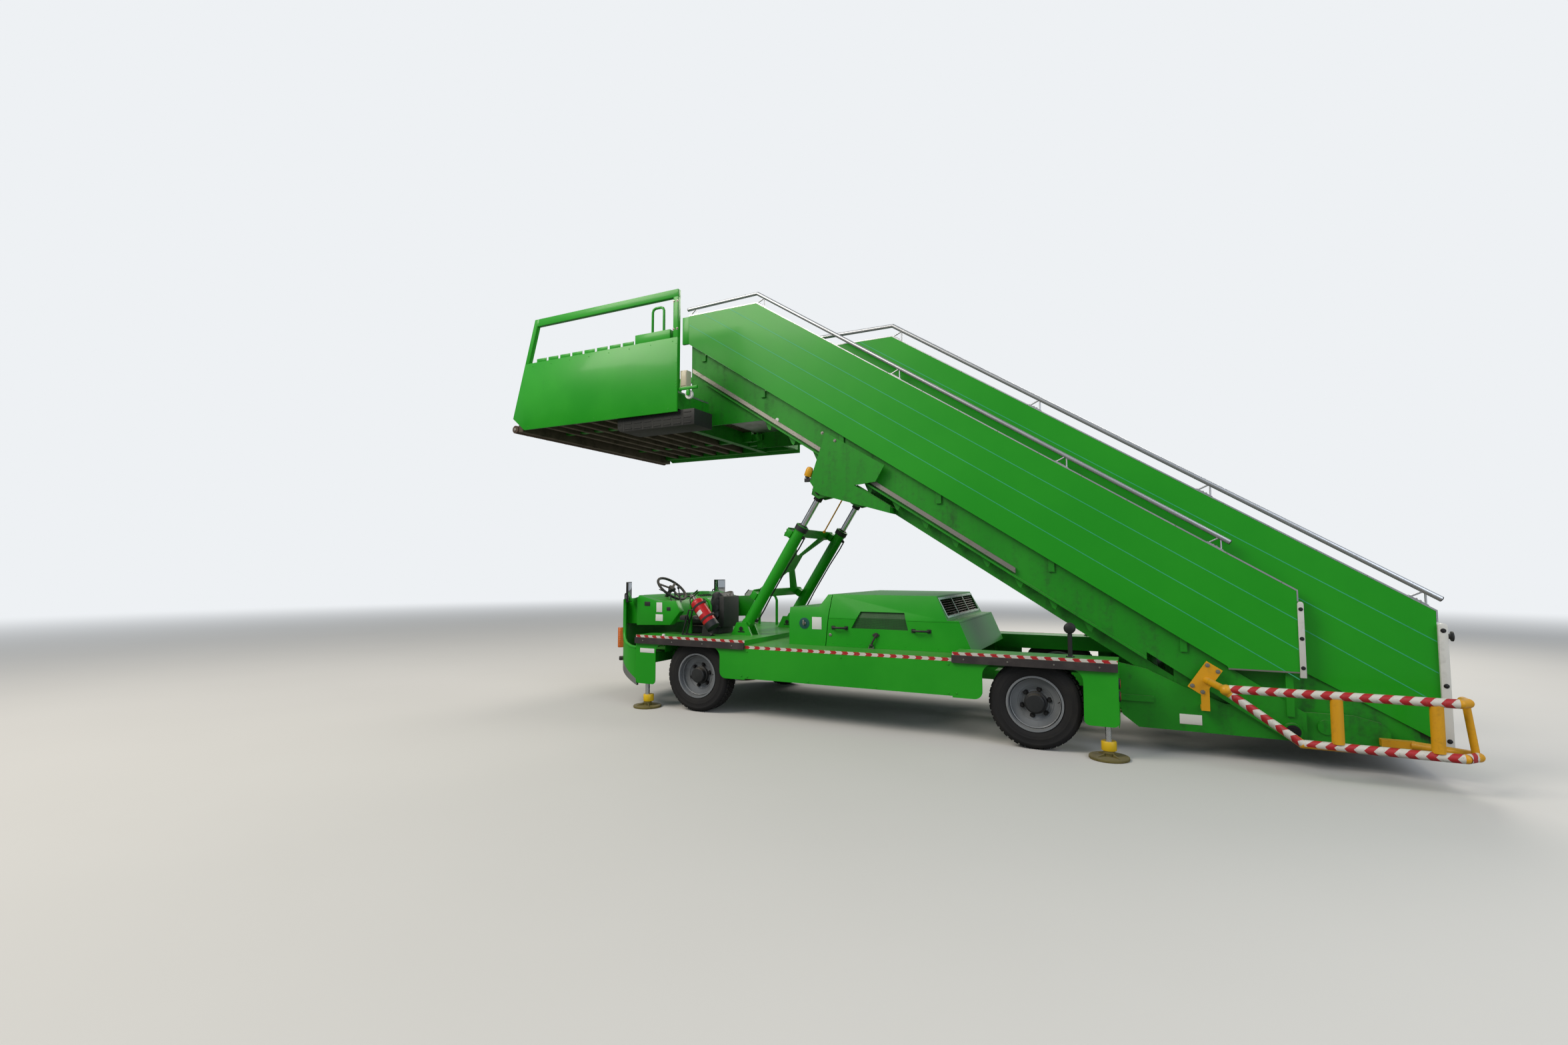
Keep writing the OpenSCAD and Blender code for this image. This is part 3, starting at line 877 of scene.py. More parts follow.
    def piece(
        self, name: str, material: Material, soft: float = 0.0, smooth: bool = True, placed: bool = True
    ) -> bpy.types.Object:
        """Turns the gathered bodies into an object at the origin.

        Args:
            name: Name of the piece.
            material: Its finish.
            soft: Width of the rounded edges, or 0.
            smooth: Shades curved faces smoothly.
            placed: Moves the bodies from the drawing's zero to the machine's middle.

        Returns:
            The new object.
        """
        if placed:
            bmesh.ops.translate(self.bm, verts=self.bm.verts, vec=(SHIFT, 0.0, 0.0))
        bmesh.ops.recalc_face_normals(self.bm, faces=self.bm.faces)
        if soft:
            sharp = [e for e in self.bm.edges if len(e.link_faces) == 2 and e.calc_face_angle(0.0) > BEVEL_ANGLE]
            bmesh.ops.bevel(
                self.bm, geom=sharp, offset=soft, segments=2, affect="EDGES", profile=0.5, clamp_overlap=True
            )
        mesh = bpy.data.meshes.new(name)
        self.bm.to_mesh(mesh)
        self.bm.free()
        mesh.materials.append(material)
        if smooth:
            mesh.shade_smooth()
            mesh.set_sharp_from_angle(angle=CREASE_ANGLE)
        return add_object(name, mesh)


def upright(y: float) -> Matrix:
    """Returns the frame of a side view, (x, z), that stands at y and is drawn out to the left."""
    return Matrix(((1, 0, 0, 0), (0, 0, -1, y), (0, 1, 0, 0), (0, 0, 0, 1)))


def across(x: float) -> Matrix:
    """Returns the frame of a front view, (y, z), that stands at x and is drawn out to the rear."""
    return Matrix(((0, 0, 1, x), (1, 0, 0, 0), (0, 1, 0, 0), (0, 0, 0, 1)))


def turned(where: Point, x_axis: Point, z_axis: Point) -> Matrix:
    """Returns a frame at a point from its X and Z directions."""
    z = Vector(z_axis).normalized()
    x = (Vector(x_axis) - z * Vector(x_axis).dot(z)).normalized()
    y = z.cross(x)
    frame = Matrix((x, y, z)).transposed().to_4x4()
    frame.translation = Vector(where)
    return frame


# ---------------------------------------------------------------- repeats


class Repeat(Enum):
    """Ways in which a small piece is repeated."""

    ROW = "row"
    RING = "ring"
    SCATTER = "scatter"


class Repeater:
    """A Geometry Nodes tree that repeats one small piece and makes it plain mesh."""

    def __init__(self, kind: Repeat) -> None:
        """Builds the tree for that kind of repeat."""
        self.kind = kind
        self.tree = bpy.data.node_groups.new(f"repeat_{kind.value}", "GeometryNodeTree")
        face = self.tree.interface
        face.new_socket("Geometry", in_out="INPUT", socket_type="NodeSocketGeometry")
        face.new_socket("Geometry", in_out="OUTPUT", socket_type="NodeSocketGeometry")
        self.inputs = {
            "Finish": face.new_socket("Finish", in_out="INPUT", socket_type="NodeSocketMaterial").identifier
        }
        kinds = {
            Repeat.ROW: {"Count": "NodeSocketInt", "Start": "NodeSocketVector", "Step": "NodeSocketVector"},
            Repeat.RING: {"Count": "NodeSocketInt", "Radius": "NodeSocketFloat", "Centre": "NodeSocketVector"},
            Repeat.SCATTER: {"Piece": "NodeSocketObject"},
        }[kind]
        for name, socket in kinds.items():
            self.inputs[name] = face.new_socket(name, in_out="INPUT", socket_type=socket).identifier
        group = self.node("NodeGroupInput").outputs
        if kind is Repeat.ROW:
            line = self.node(
                "GeometryNodeMeshLine", {"mode": "OFFSET"},
                {"Count": group["Count"], "Start Location": group["Start"], "Offset": group["Step"]}
            )
            points, turn, shape = line.outputs[0], None, group["Geometry"]
        elif kind is Repeat.RING:
            ring = self.node("GeometryNodeMeshCircle", {}, {"Vertices": group["Count"], "Radius": group["Radius"]})
            flat = self.node("GeometryNodeInputPosition").outputs[0]
            turn = self.node("FunctionNodeAlignRotationToVector", {"axis": "X"}, {"Vector": flat}).outputs[0]
            points, shape = ring.outputs[0], group["Geometry"]
        else:
            facing = self.node(
                "GeometryNodeInputNamedAttribute", {"data_type": "FLOAT_VECTOR"}, {"Name": "facing"}
            ).outputs[0]
            along = self.node(
                "GeometryNodeInputNamedAttribute", {"data_type": "FLOAT_VECTOR"}, {"Name": "along"}
            ).outputs[0]
            first = self.node("FunctionNodeAlignRotationToVector", {"axis": "Z"}, {"Vector": facing}).outputs[0]
            turn = self.node(
                "FunctionNodeAlignRotationToVector", {"axis": "X", "pivot_axis": "Z"},
                {"Rotation": first, "Vector": along}
            ).outputs[0]
            info = self.node("GeometryNodeObjectInfo", {"transform_space": "ORIGINAL"}, {"Object": group["Piece"]})
            points, shape = group["Geometry"], info.outputs["Geometry"]
        place = {"Points": points, "Instance": shape}
        if turn is not None:
            place["Rotation"] = turn
        many = self.node("GeometryNodeInstanceOnPoints", {}, place).outputs[0]
        if kind is Repeat.RING:
            stand = self.node(
                "GeometryNodeTransform", {},
                {"Geometry": many, "Translation": group["Centre"], "Rotation": (math.pi / 2, 0.0, 0.0)}
            )
            many = stand.outputs[0]
        plain = self.node("GeometryNodeRealizeInstances", {}, {0: many}).outputs[0]
        dressed = self.node(
            "GeometryNodeSetMaterial", {}, {"Geometry": plain, "Material": group["Finish"]}
        ).outputs[0]
        self.tree.links.new(dressed, self.node("NodeGroupOutput").inputs[0])

    def node(self, kind: str, settings: Settings = None, inputs: Settings = None) -> bpy.types.Node:
        """Adds a node with its settings and its sockets' values or links."""
        return add_node(self.tree, kind, settings, inputs)

    def make(self, name: str, base: bpy.types.Object, finish: Material, **values: Any) -> bpy.types.Object:
        """Runs the tree on an object and keeps the result as plain mesh.

        Args:
            name: Name of the new piece.
            base: Object that carries the modifier; it is used up.
            finish: Material of the copies.
            **values: Named inputs of the tree.

        Returns:
            The new piece, at the origin.
        """
        modifier = base.modifiers.new("repeat", "NODES")
        modifier.node_group = self.tree
        modifier[self.inputs["Finish"]] = finish
        for key, value in values.items():
            modifier[self.inputs[key]] = value
        graph = bpy.context.evaluated_depsgraph_get()
        mesh = bpy.data.meshes.new_from_object(
            base.evaluated_get(graph), preserve_all_data_layers=True, depsgraph=graph
        )
        base.modifiers.clear()
        bpy.data.objects.remove(base)
        mesh.name = name
        return add_object(name, mesh)


@dataclass
class Spot:
    """Place of one repeated piece: its point, where it faces and how it lies."""

    at: Point
    facing: Point = (0.0, 0.0, 1.0)
    along: Point = (1.0, 0.0, 0.0)


class Workshop:
    """The repeating trees and the small pieces that they place."""

    def __init__(self, finishes: Finishes) -> None:
        """Builds the trees once."""
        self.finishes = finishes
        self.row_tree = Repeater(Repeat.ROW)
        self.ring_tree = Repeater(Repeat.RING)
        self.spot_tree = Repeater(Repeat.SCATTER)

    def row(
        self, name: str, shape: Shape, finish: Material, count: int, start: Point, step: Point
    ) -> bpy.types.Object:
        """Repeats a shape made at the origin along a straight row."""
        base = shape.piece(name + "_one", finish, placed=False)
        return self.row_tree.make(
            name, base, finish, Count=count, Start=(start[0] + SHIFT, start[1], start[2]), Step=tuple(step)
        )

    def ring(
        self, name: str, shape: Shape, finish: Material, count: int, radius: float, centre: Point
    ) -> bpy.types.Object:
        """Repeats a shape round an axle along Y; the shape's X points outwards and its Z along -Y."""
        base = shape.piece(name + "_one", finish, placed=False)
        return self.ring_tree.make(
            name, base, finish, Count=count, Radius=radius, Centre=(centre[0] + SHIFT, centre[1], centre[2])
        )

    def spots(self, name: str, shape: Shape, finish: Material, places: Iterable[Spot]) -> bpy.types.Object:
        """Repeats a shape made at the origin at each of the places."""
        places = list(places)
        piece = shape.piece(name + "_one", finish, placed=False)
        mesh = bpy.data.meshes.new(name + "_points")
        mesh.from_pydata([(p.at[0] + SHIFT, p.at[1], p.at[2]) for p in places], [], [])
        for key in ("facing", "along"):
            layer = mesh.attributes.new(key, "FLOAT_VECTOR", "POINT")
            layer.data.foreach_set("vector", [c for p in places for c in Vector(getattr(p, key)).normalized()])
        base = add_object(name + "_points", mesh)
        made = self.spot_tree.make(name, base, finish, Piece=piece)
        bpy.data.objects.remove(piece)
        return made

    def bolts(
        self, name: str, places: Iterable[Spot], radius: float = 0.008, height: float = 0.006,
        finish: Material | None = None
    ) -> bpy.types.Object:
        """Places hexagon bolts with washers."""
        head = Shape().lathe(
            [(0, 0), (radius * 1.5, 0), (radius * 1.5, height * 0.35), (0, height * 0.35)], Matrix.Identity(4), 12
        )
        head.lathe(
            [
                (0, height * 0.3), (radius, height * 0.3), (radius, height), (radius * 0.85, height * 1.15),
                (0, height * 1.15)
            ],
            Matrix.Identity(4), 6
        )
        return self.spots(name, head, finish or self.finishes.steel, places)

    def rivets(self, name: str, places: Iterable[Spot], finish: Material, radius: float = 0.007) -> bpy.types.Object:
        """Places flat round rivets."""
        dome = Shape().lathe(
            [(0, 0), (radius, 0), (radius * 0.8, radius * 0.35), (0, radius * 0.45)], Matrix.Identity(4), 10
        )
        return self.spots(name, dome, finish, places)


def both_sides(spots: Iterable[Spot]) -> list[Spot]:
    """Returns the spots and their mirror images across the machine."""
    found = list(spots)

    def flip(v: Point) -> Vector:
        """Returns the vector with its Y turned round."""
        return Vector((v[0], -v[1], v[2]))

    return found + [Spot(flip(s.at), flip(s.facing), flip(s.along)) for s in found]


# ---------------------------------------------------------------- sub-assemblies


@dataclass
class Kit:
    """What every sub-assembly needs: finishes, repeating trees and the log."""

    finishes: Finishes
    shop: Workshop

    def add(self, piece: bpy.types.Object, body: str, slot: str | None, *nodes: str) -> bpy.types.Object:
        """Rides a finished piece on its body and reports it.

        Args:
            piece: The finished piece.
            body: CAD body that it moves with.
            slot: Not used.
            *nodes: CAD nodes that it stands for.

        Returns:
            The piece.
        """
        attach(piece, body)
        if nodes:
            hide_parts(*nodes)
        LOG.info("%s on %s, %d faces", piece.name, body, len(piece.data.polygons))
        return piece


@dataclass
class Assembly:
    home: ClassVar[str] = "chassis"
    kit: Kit

    def __post_init__(self) -> None:
        self.finishes, self.shop = self.kit.finishes, self.kit.shop

    def add(self, piece: bpy.types.Object, *nodes: str, body: str = "", slot: str | None = "") -> None:
        """Hands over a finished piece.

        Args:
            piece: The finished piece.
            *nodes: CAD nodes that it stands for.
            body: CAD body that it moves with, where it isn't the assembly's home.
            slot: Material slot of the record, None for no slot, or empty for its finish's own.
        """
        own = slot if slot != "" else self.finishes.slot_of(piece.data.materials[0])
        self.kit.add(piece, body or self.home, own, *nodes)

    def put(
        self, shape: Shape, name: str, finish: Material, *nodes: str,
        soft: float = 0.0, smooth: bool = True, **where: str | None,
    ) -> None:
        """Makes a shape a piece and adds it.

        Args:
            shape: The gathered bodies.
            name: Name of the piece.
            finish: Its material.
            *nodes: CAD nodes that it stands for.
            soft: Width of the rounded edges, or 0.
            smooth: Shades curved faces smoothly.
            **where: Its body and slot, as for add.
        """
        self.add(shape.piece(name, finish, soft, smooth), *nodes, **where)

    def pair(self, shape: Shape, *args: Any, **options: Any) -> None:
        """Adds a shape of the left side together with its mirror image; the rest is as for put."""
        self.put(shape.mirrored(), *args, **options)


def disc(radius: float, height: float, edge: float = 0.1) -> list[tuple[float, float]]:
    """Returns the outline of a round cap with a softened rim."""
    e = min(radius, height) * edge * 2
    return [(0.0, 0.0), (radius, 0.0), (radius, height - e), (radius - e, height), (0.0, height)]


def slab(height: float, thick: float, lift: float = 0.0004) -> list[tuple[float, float, float]]:
    """Returns the outline of a flat tape standing on a wall."""
    half = height / 2
    return [(lift, -half, 0.0), (lift + thick, -half, 0.0), (lift + thick, half, 1.0), (lift, half, 1.0)]


@dataclass
class Wheel(Assembly):
    """One road wheel: tyre with cut tread, hub cap, nuts and valve."""

    name: str
    axle_x: float
    side: Side
    middle: float = 0.9905
    height: float = 0.3835
    radius: float = 0.3835
    nut_circle: float = 0.117
    nuts: int = 6
    lugs: int = 46

    def _place(self) -> Matrix:
        """Returns the wheel's frame, with Z pointing outwards."""
        return turned((self.axle_x, self.side.value * self.middle, self.height), REAR, (0, self.side.value, 0))

    def tyre(self) -> None:
        """Builds the carcass with its side ribs and the rows of tread blocks."""
        base = self.radius - 0.011
        half = [
            (0.2262, 0.086), (0.232, 0.094), (0.240, 0.0965), (0.246, 0.1005), (0.262, 0.1022), (0.266, 0.1042),
            (0.280, 0.1050),
            (0.290, 0.1054), (0.293, 0.1068), (0.297, 0.1068), (0.300, 0.1054), (0.318, 0.1046), (0.334, 0.1018),
            (0.338, 0.1032),
            (0.344, 0.1028), (0.350, 0.0990), (0.362, 0.0940), (0.370, 0.0850), (base, 0.0740),
        ]
        profile = [(r, z) for r, z in half] + [(base, 0.0)] + [(r, -z) for r, z in reversed(half)]
        place = self._place()
        body = Shape().lathe(profile, place, 72, ring=True).piece(f"tyre_{self.name}_carcass", self.finishes.tyre)
        self.add(body, f"tyre_{self.name}", body=f"wheel_{self.name}")
        pitch = 2 * math.pi * self.radius / self.lugs
        blocks = Shape()
        for row, (low, high) in enumerate((
            (-0.0725, -0.0400), (-0.0345, -0.0030), (0.0030, 0.0345), (0.0400, 0.0725)
        )):
            slip = (row % 2 - 0.5) * pitch * 0.5
            # x points outwards, y runs along the tread and z across it
            blocks.box((-0.0125, slip - pitch * 0.36, low), (-0.0003, slip + pitch * 0.36, high))
        tread = self.shop.ring(
            f"tyre_{self.name}_tread", blocks, self.finishes.tyre, self.lugs, self.radius,
            (self.axle_x, self.side.value * self.middle, self.height)
        )
        self.add(tread, f"tyre_{self.name}", body=f"wheel_{self.name}")

    def hub(self) -> None:
        """Builds the black hub, its cap, the nuts and the valve."""
        place, f = self._place(), self.finishes
        hub = Shape().lathe(
            [
                (0.0, 0.02), (0.096, 0.02), (0.094, 0.034), (0.080, 0.040), (0.078, 0.082), (0.070, 0.090),
                (0.0, 0.094)
            ],
            place, 32
        )
        self.put(hub, f"hub_{self.name}", f.plastic, body=f"wheel_{self.name}")
        spots, out = [], Vector((0, self.side.value, 0))
        for i in range(self.nuts):
            a = 2 * math.pi * (i + 0.25) / self.nuts
            at = Vector((
                self.axle_x + self.nut_circle * math.cos(a), self.side.value * (self.middle + 0.006),
                self.height + self.nut_circle * math.sin(a)
            ))
            spots.append(Spot(at, out, (math.cos(a), 0, math.sin(a))))
        self.add(self.shop.bolts(f"nuts_{self.name}", spots, 0.0155, 0.026, f.black_bolt), body=f"wheel_{self.name}")
        ring = Shape().lathe(
            [(0.2005, 0.046), (0.2075, 0.046), (0.2075, 0.064), (0.2005, 0.060)], place, 48, ring=True
        )
        ring.lathe([(0.140, 0.0205), (0.146, 0.0215), (0.146, 0.0265), (0.140, 0.0255)], place, 48, ring=True)
        self.put(ring, f"rim_rings_{self.name}", f.rim, body=f"wheel_{self.name}")
        valve = Shape().tube(
            [
                place @ Vector((0.196, 0.02, 0.03)), place @ Vector((0.192, 0.02, 0.06)),
                place @ Vector((0.186, 0.02, 0.085))
            ],
            0.004, 8
        )
        self.put(valve, f"valve_{self.name}", f.plastic, body=f"wheel_{self.name}")

    def build(self) -> None:
        """Builds the whole wheel."""
        self.tyre()
        self.hub()


@dataclass
class FenderEdges(Assembly):
    """Warning tapes, screws and plates along the sides of the chassis."""

    half: float = 1.15
    deck: float = 0.79
    spans: tuple[tuple[float, float], ...] = ((-2.815, -1.415), (0.715, 2.045))
    middle: tuple[float, float] = (-1.415, 0.715)

    def tapes(self) -> None:
        """Builds the chevron tapes on the fenders and the mid panels."""
        fold = [
            (0.0005, -0.0115, 0.0), (0.0013, -0.0115, 0.0), (0.0013, 0.0138, 0.66), (-0.0130, 0.0138, 1.0),
            (-0.0130, 0.0131, 1.0), (0.0005, 0.0131, 0.64)
        ]
        fenders = Shape()
        for a, b in self.spans:
            fenders.sweep([(a, -self.half, self.deck - 0.0126), (b, -self.half, self.deck - 0.0126)], fold, LEFT)
        made = fenders.mirrored().piece("fender_tapes", self.finishes.fender_tape, smooth=False)
        self.add(made)
        z = self.deck - 0.05 - 0.0165
        line = Shape().sweep(
            [(self.middle[0] + 0.006, -self.half, z), (self.middle[1] - 0.006, -self.half, z)], slab(0.031, 0.0008),
            LEFT
        )
        self.pair(line, "middle_tapes", self.finishes.middle_tape, smooth=False)

    def screws(self) -> None:
        """Builds the screws in the rubber strips and the panel bolts."""
        y = -(self.half + 0.026)
        spots = []
        for a, b in self.spans:
            for share in (0.08, 0.36, 0.64, 0.90):
                spots.append(Spot((a + (b - a) * share, y, self.deck - 0.057), LEFT))
        self.add(self.shop.rivets("strip_screws", both_sides(spots), self.finishes.steel, 0.008), slot="rubber")
        y = -self.half
        spots = [Spot((x, y, 0.715 - 0.32 + 0.03), LEFT) for x in (-1.38, -0.7, 0.0, 0.68)]
        spots += [Spot((x, y, 0.68), LEFT) for x in (-1.385, -0.35, 0.68)]
        spots += [Spot((x, y, 0.43), LEFT) for x in (-1.45, 0.75)]
        self.add(self.shop.bolts("panel_bolts", both_sides(spots), 0.007, 0.005, self.finishes.green))

    def plates(self) -> None:
        """Builds the blank plates and the small cap on the fender."""
        y = -self.half
        shape = Shape().box((-2.755, y - 0.002, 0.600), (-2.560, y - 0.0003, 0.648))
        self.put(shape, "fender_blank_plate", self.finishes.plate, soft=0.0006)
        cap = Shape().lathe(
            [(0.0, 0.0), (0.019, 0.0), (0.017, 0.016), (0.009, 0.022), (0.0, 0.023)],
            Matrix.Translation((-2.46, y + 0.03, self.deck + 0.0002)), 16
        )
        self.put(cap, "fender_cap", self.finishes.plate)
        reflect = Shape()
        for z, size in ((0.60, 0.036), (0.50, 0.036)):
            reflect.lathe(disc(size, 0.014), turned((2.0452, -1.08, z), UP, REAR), 24)
        self.pair(reflect, "rear_lamp_lenses", self.finishes.ruby)
        rings = Shape()
        for z in (0.60, 0.50):
            rings.lathe(
                [(0.0365, 0.0), (0.045, 0.0), (0.043, 0.011), (0.0365, 0.011)], turned((2.0452, -1.08, z), UP, REAR),
                24, ring=True
            )
        self.pair(rings, "rear_lamp_rings", self.finishes.plastic)

    def build(self) -> None:
        """Builds all the edge trim."""
        self.tapes()
        self.screws()
        self.plates()


@dataclass
class Cab(Assembly):
    """Driver's place: seat, console fittings, extinguisher fittings, shield and headlamps."""

    seat_y: float = -0.53
    bottle_foot: tuple[float, float, float] = (-1.952, -0.90, 0.884)
    bottle_lean: float = 39.35
    bottle_radius: float = 0.075

    def _padded(
        self, name: str, corners: Sequence[Point], widths: tuple[float, float], cap: float, cuts: int
    ) -> bpy.types.Object:
        """Puffs up a closed side outline into a cushion with the cloth recipe.

        Args:
            name: Name of the cushion.
            corners: Side outline as (x, z) points.
            widths: Half widths; the first is used for the whole cushion.
            cap: How far a point may move, in metres.
            cuts: Subdivisions before the remesh.

        Returns:
            The cushion.
        """
        shape = Shape()
        place = upright(self.seat_y + widths[0])
        shape.prism(corners, 2 * widths[0], place)
        base = shape.piece(name + "_shell", self.finishes.vinyl, 0.018)
        remesh = base.modifiers.new("remesh", "REMESH")
        remesh.mode, remesh.voxel_size = "VOXEL", CUSHION_VOXEL
        mesh = evaluated(base)
        bpy.data.objects.remove(base)
        made = add_object(name, mesh)
        mesh.name = name
        rest = [v.co.copy() for v in mesh.vertices]
        puff = made.modifiers.new("puff", "CLOTH")
        puff.settings.use_pressure = True
        puff.settings.uniform_pressure_force = CLOTH_PRESSURE
        puff.settings.effector_weights.gravity = 0.0
        puff.point_cache.frame_start, puff.point_cache.frame_end = 1, CLOTH_FRAMES
        for frame_number in range(1, CLOTH_FRAMES + 1):
            bpy.context.scene.frame_set(frame_number)
        grown = evaluated(made)
        made.modifiers.clear()
        for vertex, old, new in zip(mesh.vertices, rest, grown.vertices):
            step = new.co - old
            if step.length > cap:
                step *= cap / step.length
            vertex.co = old + step
        bpy.data.meshes.remove(grown)
        bpy.context.scene.frame_set(1)
        smooth = made.modifiers.new("smooth", "SUBSURF")
        smooth.levels = smooth.render_levels = cuts
        final = evaluated(made)
        made.modifiers.clear()
        made.data = final
        final.name = name
        final.materials.clear()
        final.materials.append(self.finishes.vinyl)
        final.shade_smooth()
        return made

    def seat(self) -> None:
        """Builds the seat: pedestal, pan, two cushions and their piping."""
        f, y = self.finishes, self.seat_y
        pedestal = Shape().box(
            (-2.39, y - 0.16, 0.7905), (-2.02, y + 0.16, 0.868)
        ).box((-2.43, y - 0.19, 0.868), (-1.99, y + 0.19, 0.882))
        pedestal.box((-2.012, y - 0.165, 0.868), (-1.948, y + 0.165, 1.215))
        self.put(pedestal, "seat_pan", f.plastic, "driver_seat", soft=0.006)
        cushion = self._padded(
            "seat_cushion", [(-2.448, 0.895), (-2.452, 0.950), (-2.400, 0.966), (-2.12, 0.955), (-2.12, 0.895)],
            (0.185, 0.185), 0.022, 1
        )
        self.add(cushion, "driver_seat")
        back = self._padded(
            "seat_back",
            [(-2.205, 0.985), (-2.105, 1.245), (-2.068, 1.272), (-2.015, 1.272), (-2.005, 1.20), (-2.030, 0.960)],
            (0.172, 0.172), 0.020, 1
        )
        self.add(back, "driver_seat")
        piping = Shape()
        for s in (-1, 1):
            yy = y + s * 0.188
            piping.tube(
                [(-2.458, yy, 0.915), (-2.462, yy, 0.948), (-2.410, yy, 0.972), (-2.130, yy, 0.962)], 0.004, 6
            )
        self.put(piping, "seat_piping", f.plastic, "driver_seat", slot="seat_cover")

    def console(self) -> None:
        """Builds gauges, switches, levers, pedals and the blank plates of the console."""
        f = self.finishes
        slope = turned((-2.80, 0, 1.1895), (1, 0, -0.2321), (0.2321, 0, 1))
        rings, faces = Shape(), Shape()
        for dx, y, radius in (
            (-0.06, -0.30, 0.045), (-0.06, -0.19, 0.045), (-0.06, -0.08, 0.035), (0.05, -0.30, 0.028),
            (0.05, -0.22, 0.028)
        ):
            at = slope @ Matrix.Translation((dx, y, 0.0005))
            rings.lathe(
                [(radius * 0.86, 0.0), (radius, 0.0), (radius, 0.010), (radius * 0.86, 0.012)], at, 24, ring=True
            )
            faces.lathe(disc(radius * 0.85, 0.005), at, 24)
        self.put(rings, "gauge_rings", f.plastic)
        self.put(faces, "gauge_faces", f.lens, slot="dark_paint")
        switch = Shape().box((-0.011, -0.007, 0.0), (0.011, 0.007, 0.008)).box(
            (-0.007, -0.005, 0.008), (0.004, 0.005, 0.013)
        )
        row = [
            Spot(
                slope @ Vector((0.055 - 0.035 * j, 0.03 + 0.045 * i, 0.0005)), slope.to_3x3() @ Vector(UP),
                slope.to_3x3() @ Vector(REAR)
            )
            for i in range(7) for j in range(2)
        ]
        self.add(self.shop.spots("console_switches", switch, f.plastic, row))
        levers = Shape()
        for i, y in enumerate((-0.815, -0.77, -0.725)):
            foot = Vector((-2.585 + 0.03 * i, y, 1.150))
            top = foot + Vector((-0.025, 0.0, 0.12 + 0.012 * i))
            levers.tube([foot, foot.lerp(top, 0.5) + Vector((0.004, 0, 0)), top], 0.006, 8)
            levers.lathe(
                [(0.0, -0.018), (0.011, -0.014), (0.017, 0.0), (0.013, 0.013), (0.0, 0.018)],
                Matrix.Translation(top + Vector((0, 0, 0.012))), 14
            )
            levers.lathe(
                [(0.0, -0.012), (0.022, -0.010), (0.017, 0.006), (0.009, 0.020), (0.0, 0.021)],
                Matrix.Translation(foot), 14
            )
        self.put(levers, "console_levers", f.plastic)
        stalk = Shape().tube([(-2.768, -0.60, 1.245), (-2.780, -0.70, 1.262), (-2.785, -0.775, 1.285)], 0.006, 8)
        self.put(stalk, "indicator_stalk", f.plastic)
        pedals = Shape()
        for y in (-0.68, -0.56, -0.44):
            pedals.box(
                (-0.036, y - 0.038, -0.006), (0.036, y + 0.038, 0.006),
                Matrix.Translation((-2.80, 0, 0.72)) @ Matrix.Rotation(math.radians(-42), 4, "Y")
            )
            pedals.tube([(-2.806, y, 0.714), (-2.85, y, 0.66), (-2.86, y, 0.6065)], 0.007, 8)
        self.put(pedals, "pedals", f.plastic, soft=0.002)
        side = -0.9504
        plates = Shape().box(
            (-2.69, side - 0.0015, 1.035), (-2.61, side, 1.145)
        ).box((-2.70, side - 0.0015, 0.935), (-2.60, side, 1.010))
        self.put(plates, "console_blank_plates", f.plate, soft=0.0005)
        dark = Shape().box(
            (-2.545, side - 0.004, 1.055), (-2.495, side, 1.095)
        ).box((-2.86, side - 0.002, 1.10), (-2.78, side, 1.15))
        self.put(dark, "console_side_plates", f.plastic, soft=0.001)

    def extinguisher(self) -> None:
        """Builds straps, valve, grip with its rigid spout, blank label and switch box."""
        f = self.finishes
        a = math.radians(self.bottle_lean)
        up = Vector((-math.sin(a), 0.0, math.cos(a)))
        place = turned(self.bottle_foot, (math.cos(a), 0, math.sin(a)), up)
        straps, r = Shape(), self.bottle_radius
        for z in (0.115, 0.285):
            straps.lathe(
                [(r + 0.0004, z), (r + 0.0030, z), (r + 0.0030, z + 0.024), (r + 0.0004, z + 0.024)], place, 36,
                ring=True
            )
            straps.box((r, -0.016, z), (r + 0.022, 0.016, z + 0.024), place)
        self.put(straps, "extinguisher_straps", f.rubber)
        valve = Shape().lathe(
            [(0.0, 0.379), (0.0235, 0.379), (0.0235, 0.412), (0.018, 0.428), (0.018, 0.452), (0.0, 0.454)], place, 18
        )
        valve.lathe(
            disc(0.017, 0.016),
            place @ Matrix.Translation((0, -0.020, 0.440)) @ Matrix.Rotation(math.radians(90), 4, "X"), 18
        )
        self.put(valve, "extinguisher_valve", f.steel)
        grip = Shape().box(
            (-0.022, -0.013, 0.4465), (0.094, 0.013, 0.452), place
        ).box((-0.022, -0.013, 0.424), (0.094, 0.013, 0.430), place)
        grip.tube(
            [
                place @ Vector(p)
                for p in (
                    (-0.02, 0, 0.44), (-0.055, 0, 0.43), (-0.078, 0, 0.39), (-0.083, 0, 0.30), (-0.083, 0, 0.16)
                )
            ],
            0.0075, 8
        )
        self.put(grip, "extinguisher_grip", f.plastic, soft=0.0015)
        label = Shape()
        rows = [(r + 0.0004, 0.185, 0), (r + 0.0009, 0.185, 0), (r + 0.0009, 0.235, 1), (r + 0.0004, 0.235, 1)]
        rings = []
        for i in range(11):
            t = math.radians(230 + 6 * i)
            rings.append([
                label.bm.verts.new(place @ Vector((q * math.cos(t), q * math.sin(t), z))) for q, z, _ in rows
            ])
        for one, two in zip(rings, rings[1:]):
            for i in range(4):
                label.bm.faces.new((one[i], one[(i + 1) % 4], two[(i + 1) % 4], two[i]))
        label.bm.faces.new(rings[0][::-1])
        label.bm.faces.new(rings[-1])
        self.put(label, "extinguisher_blank_label", f.plate)
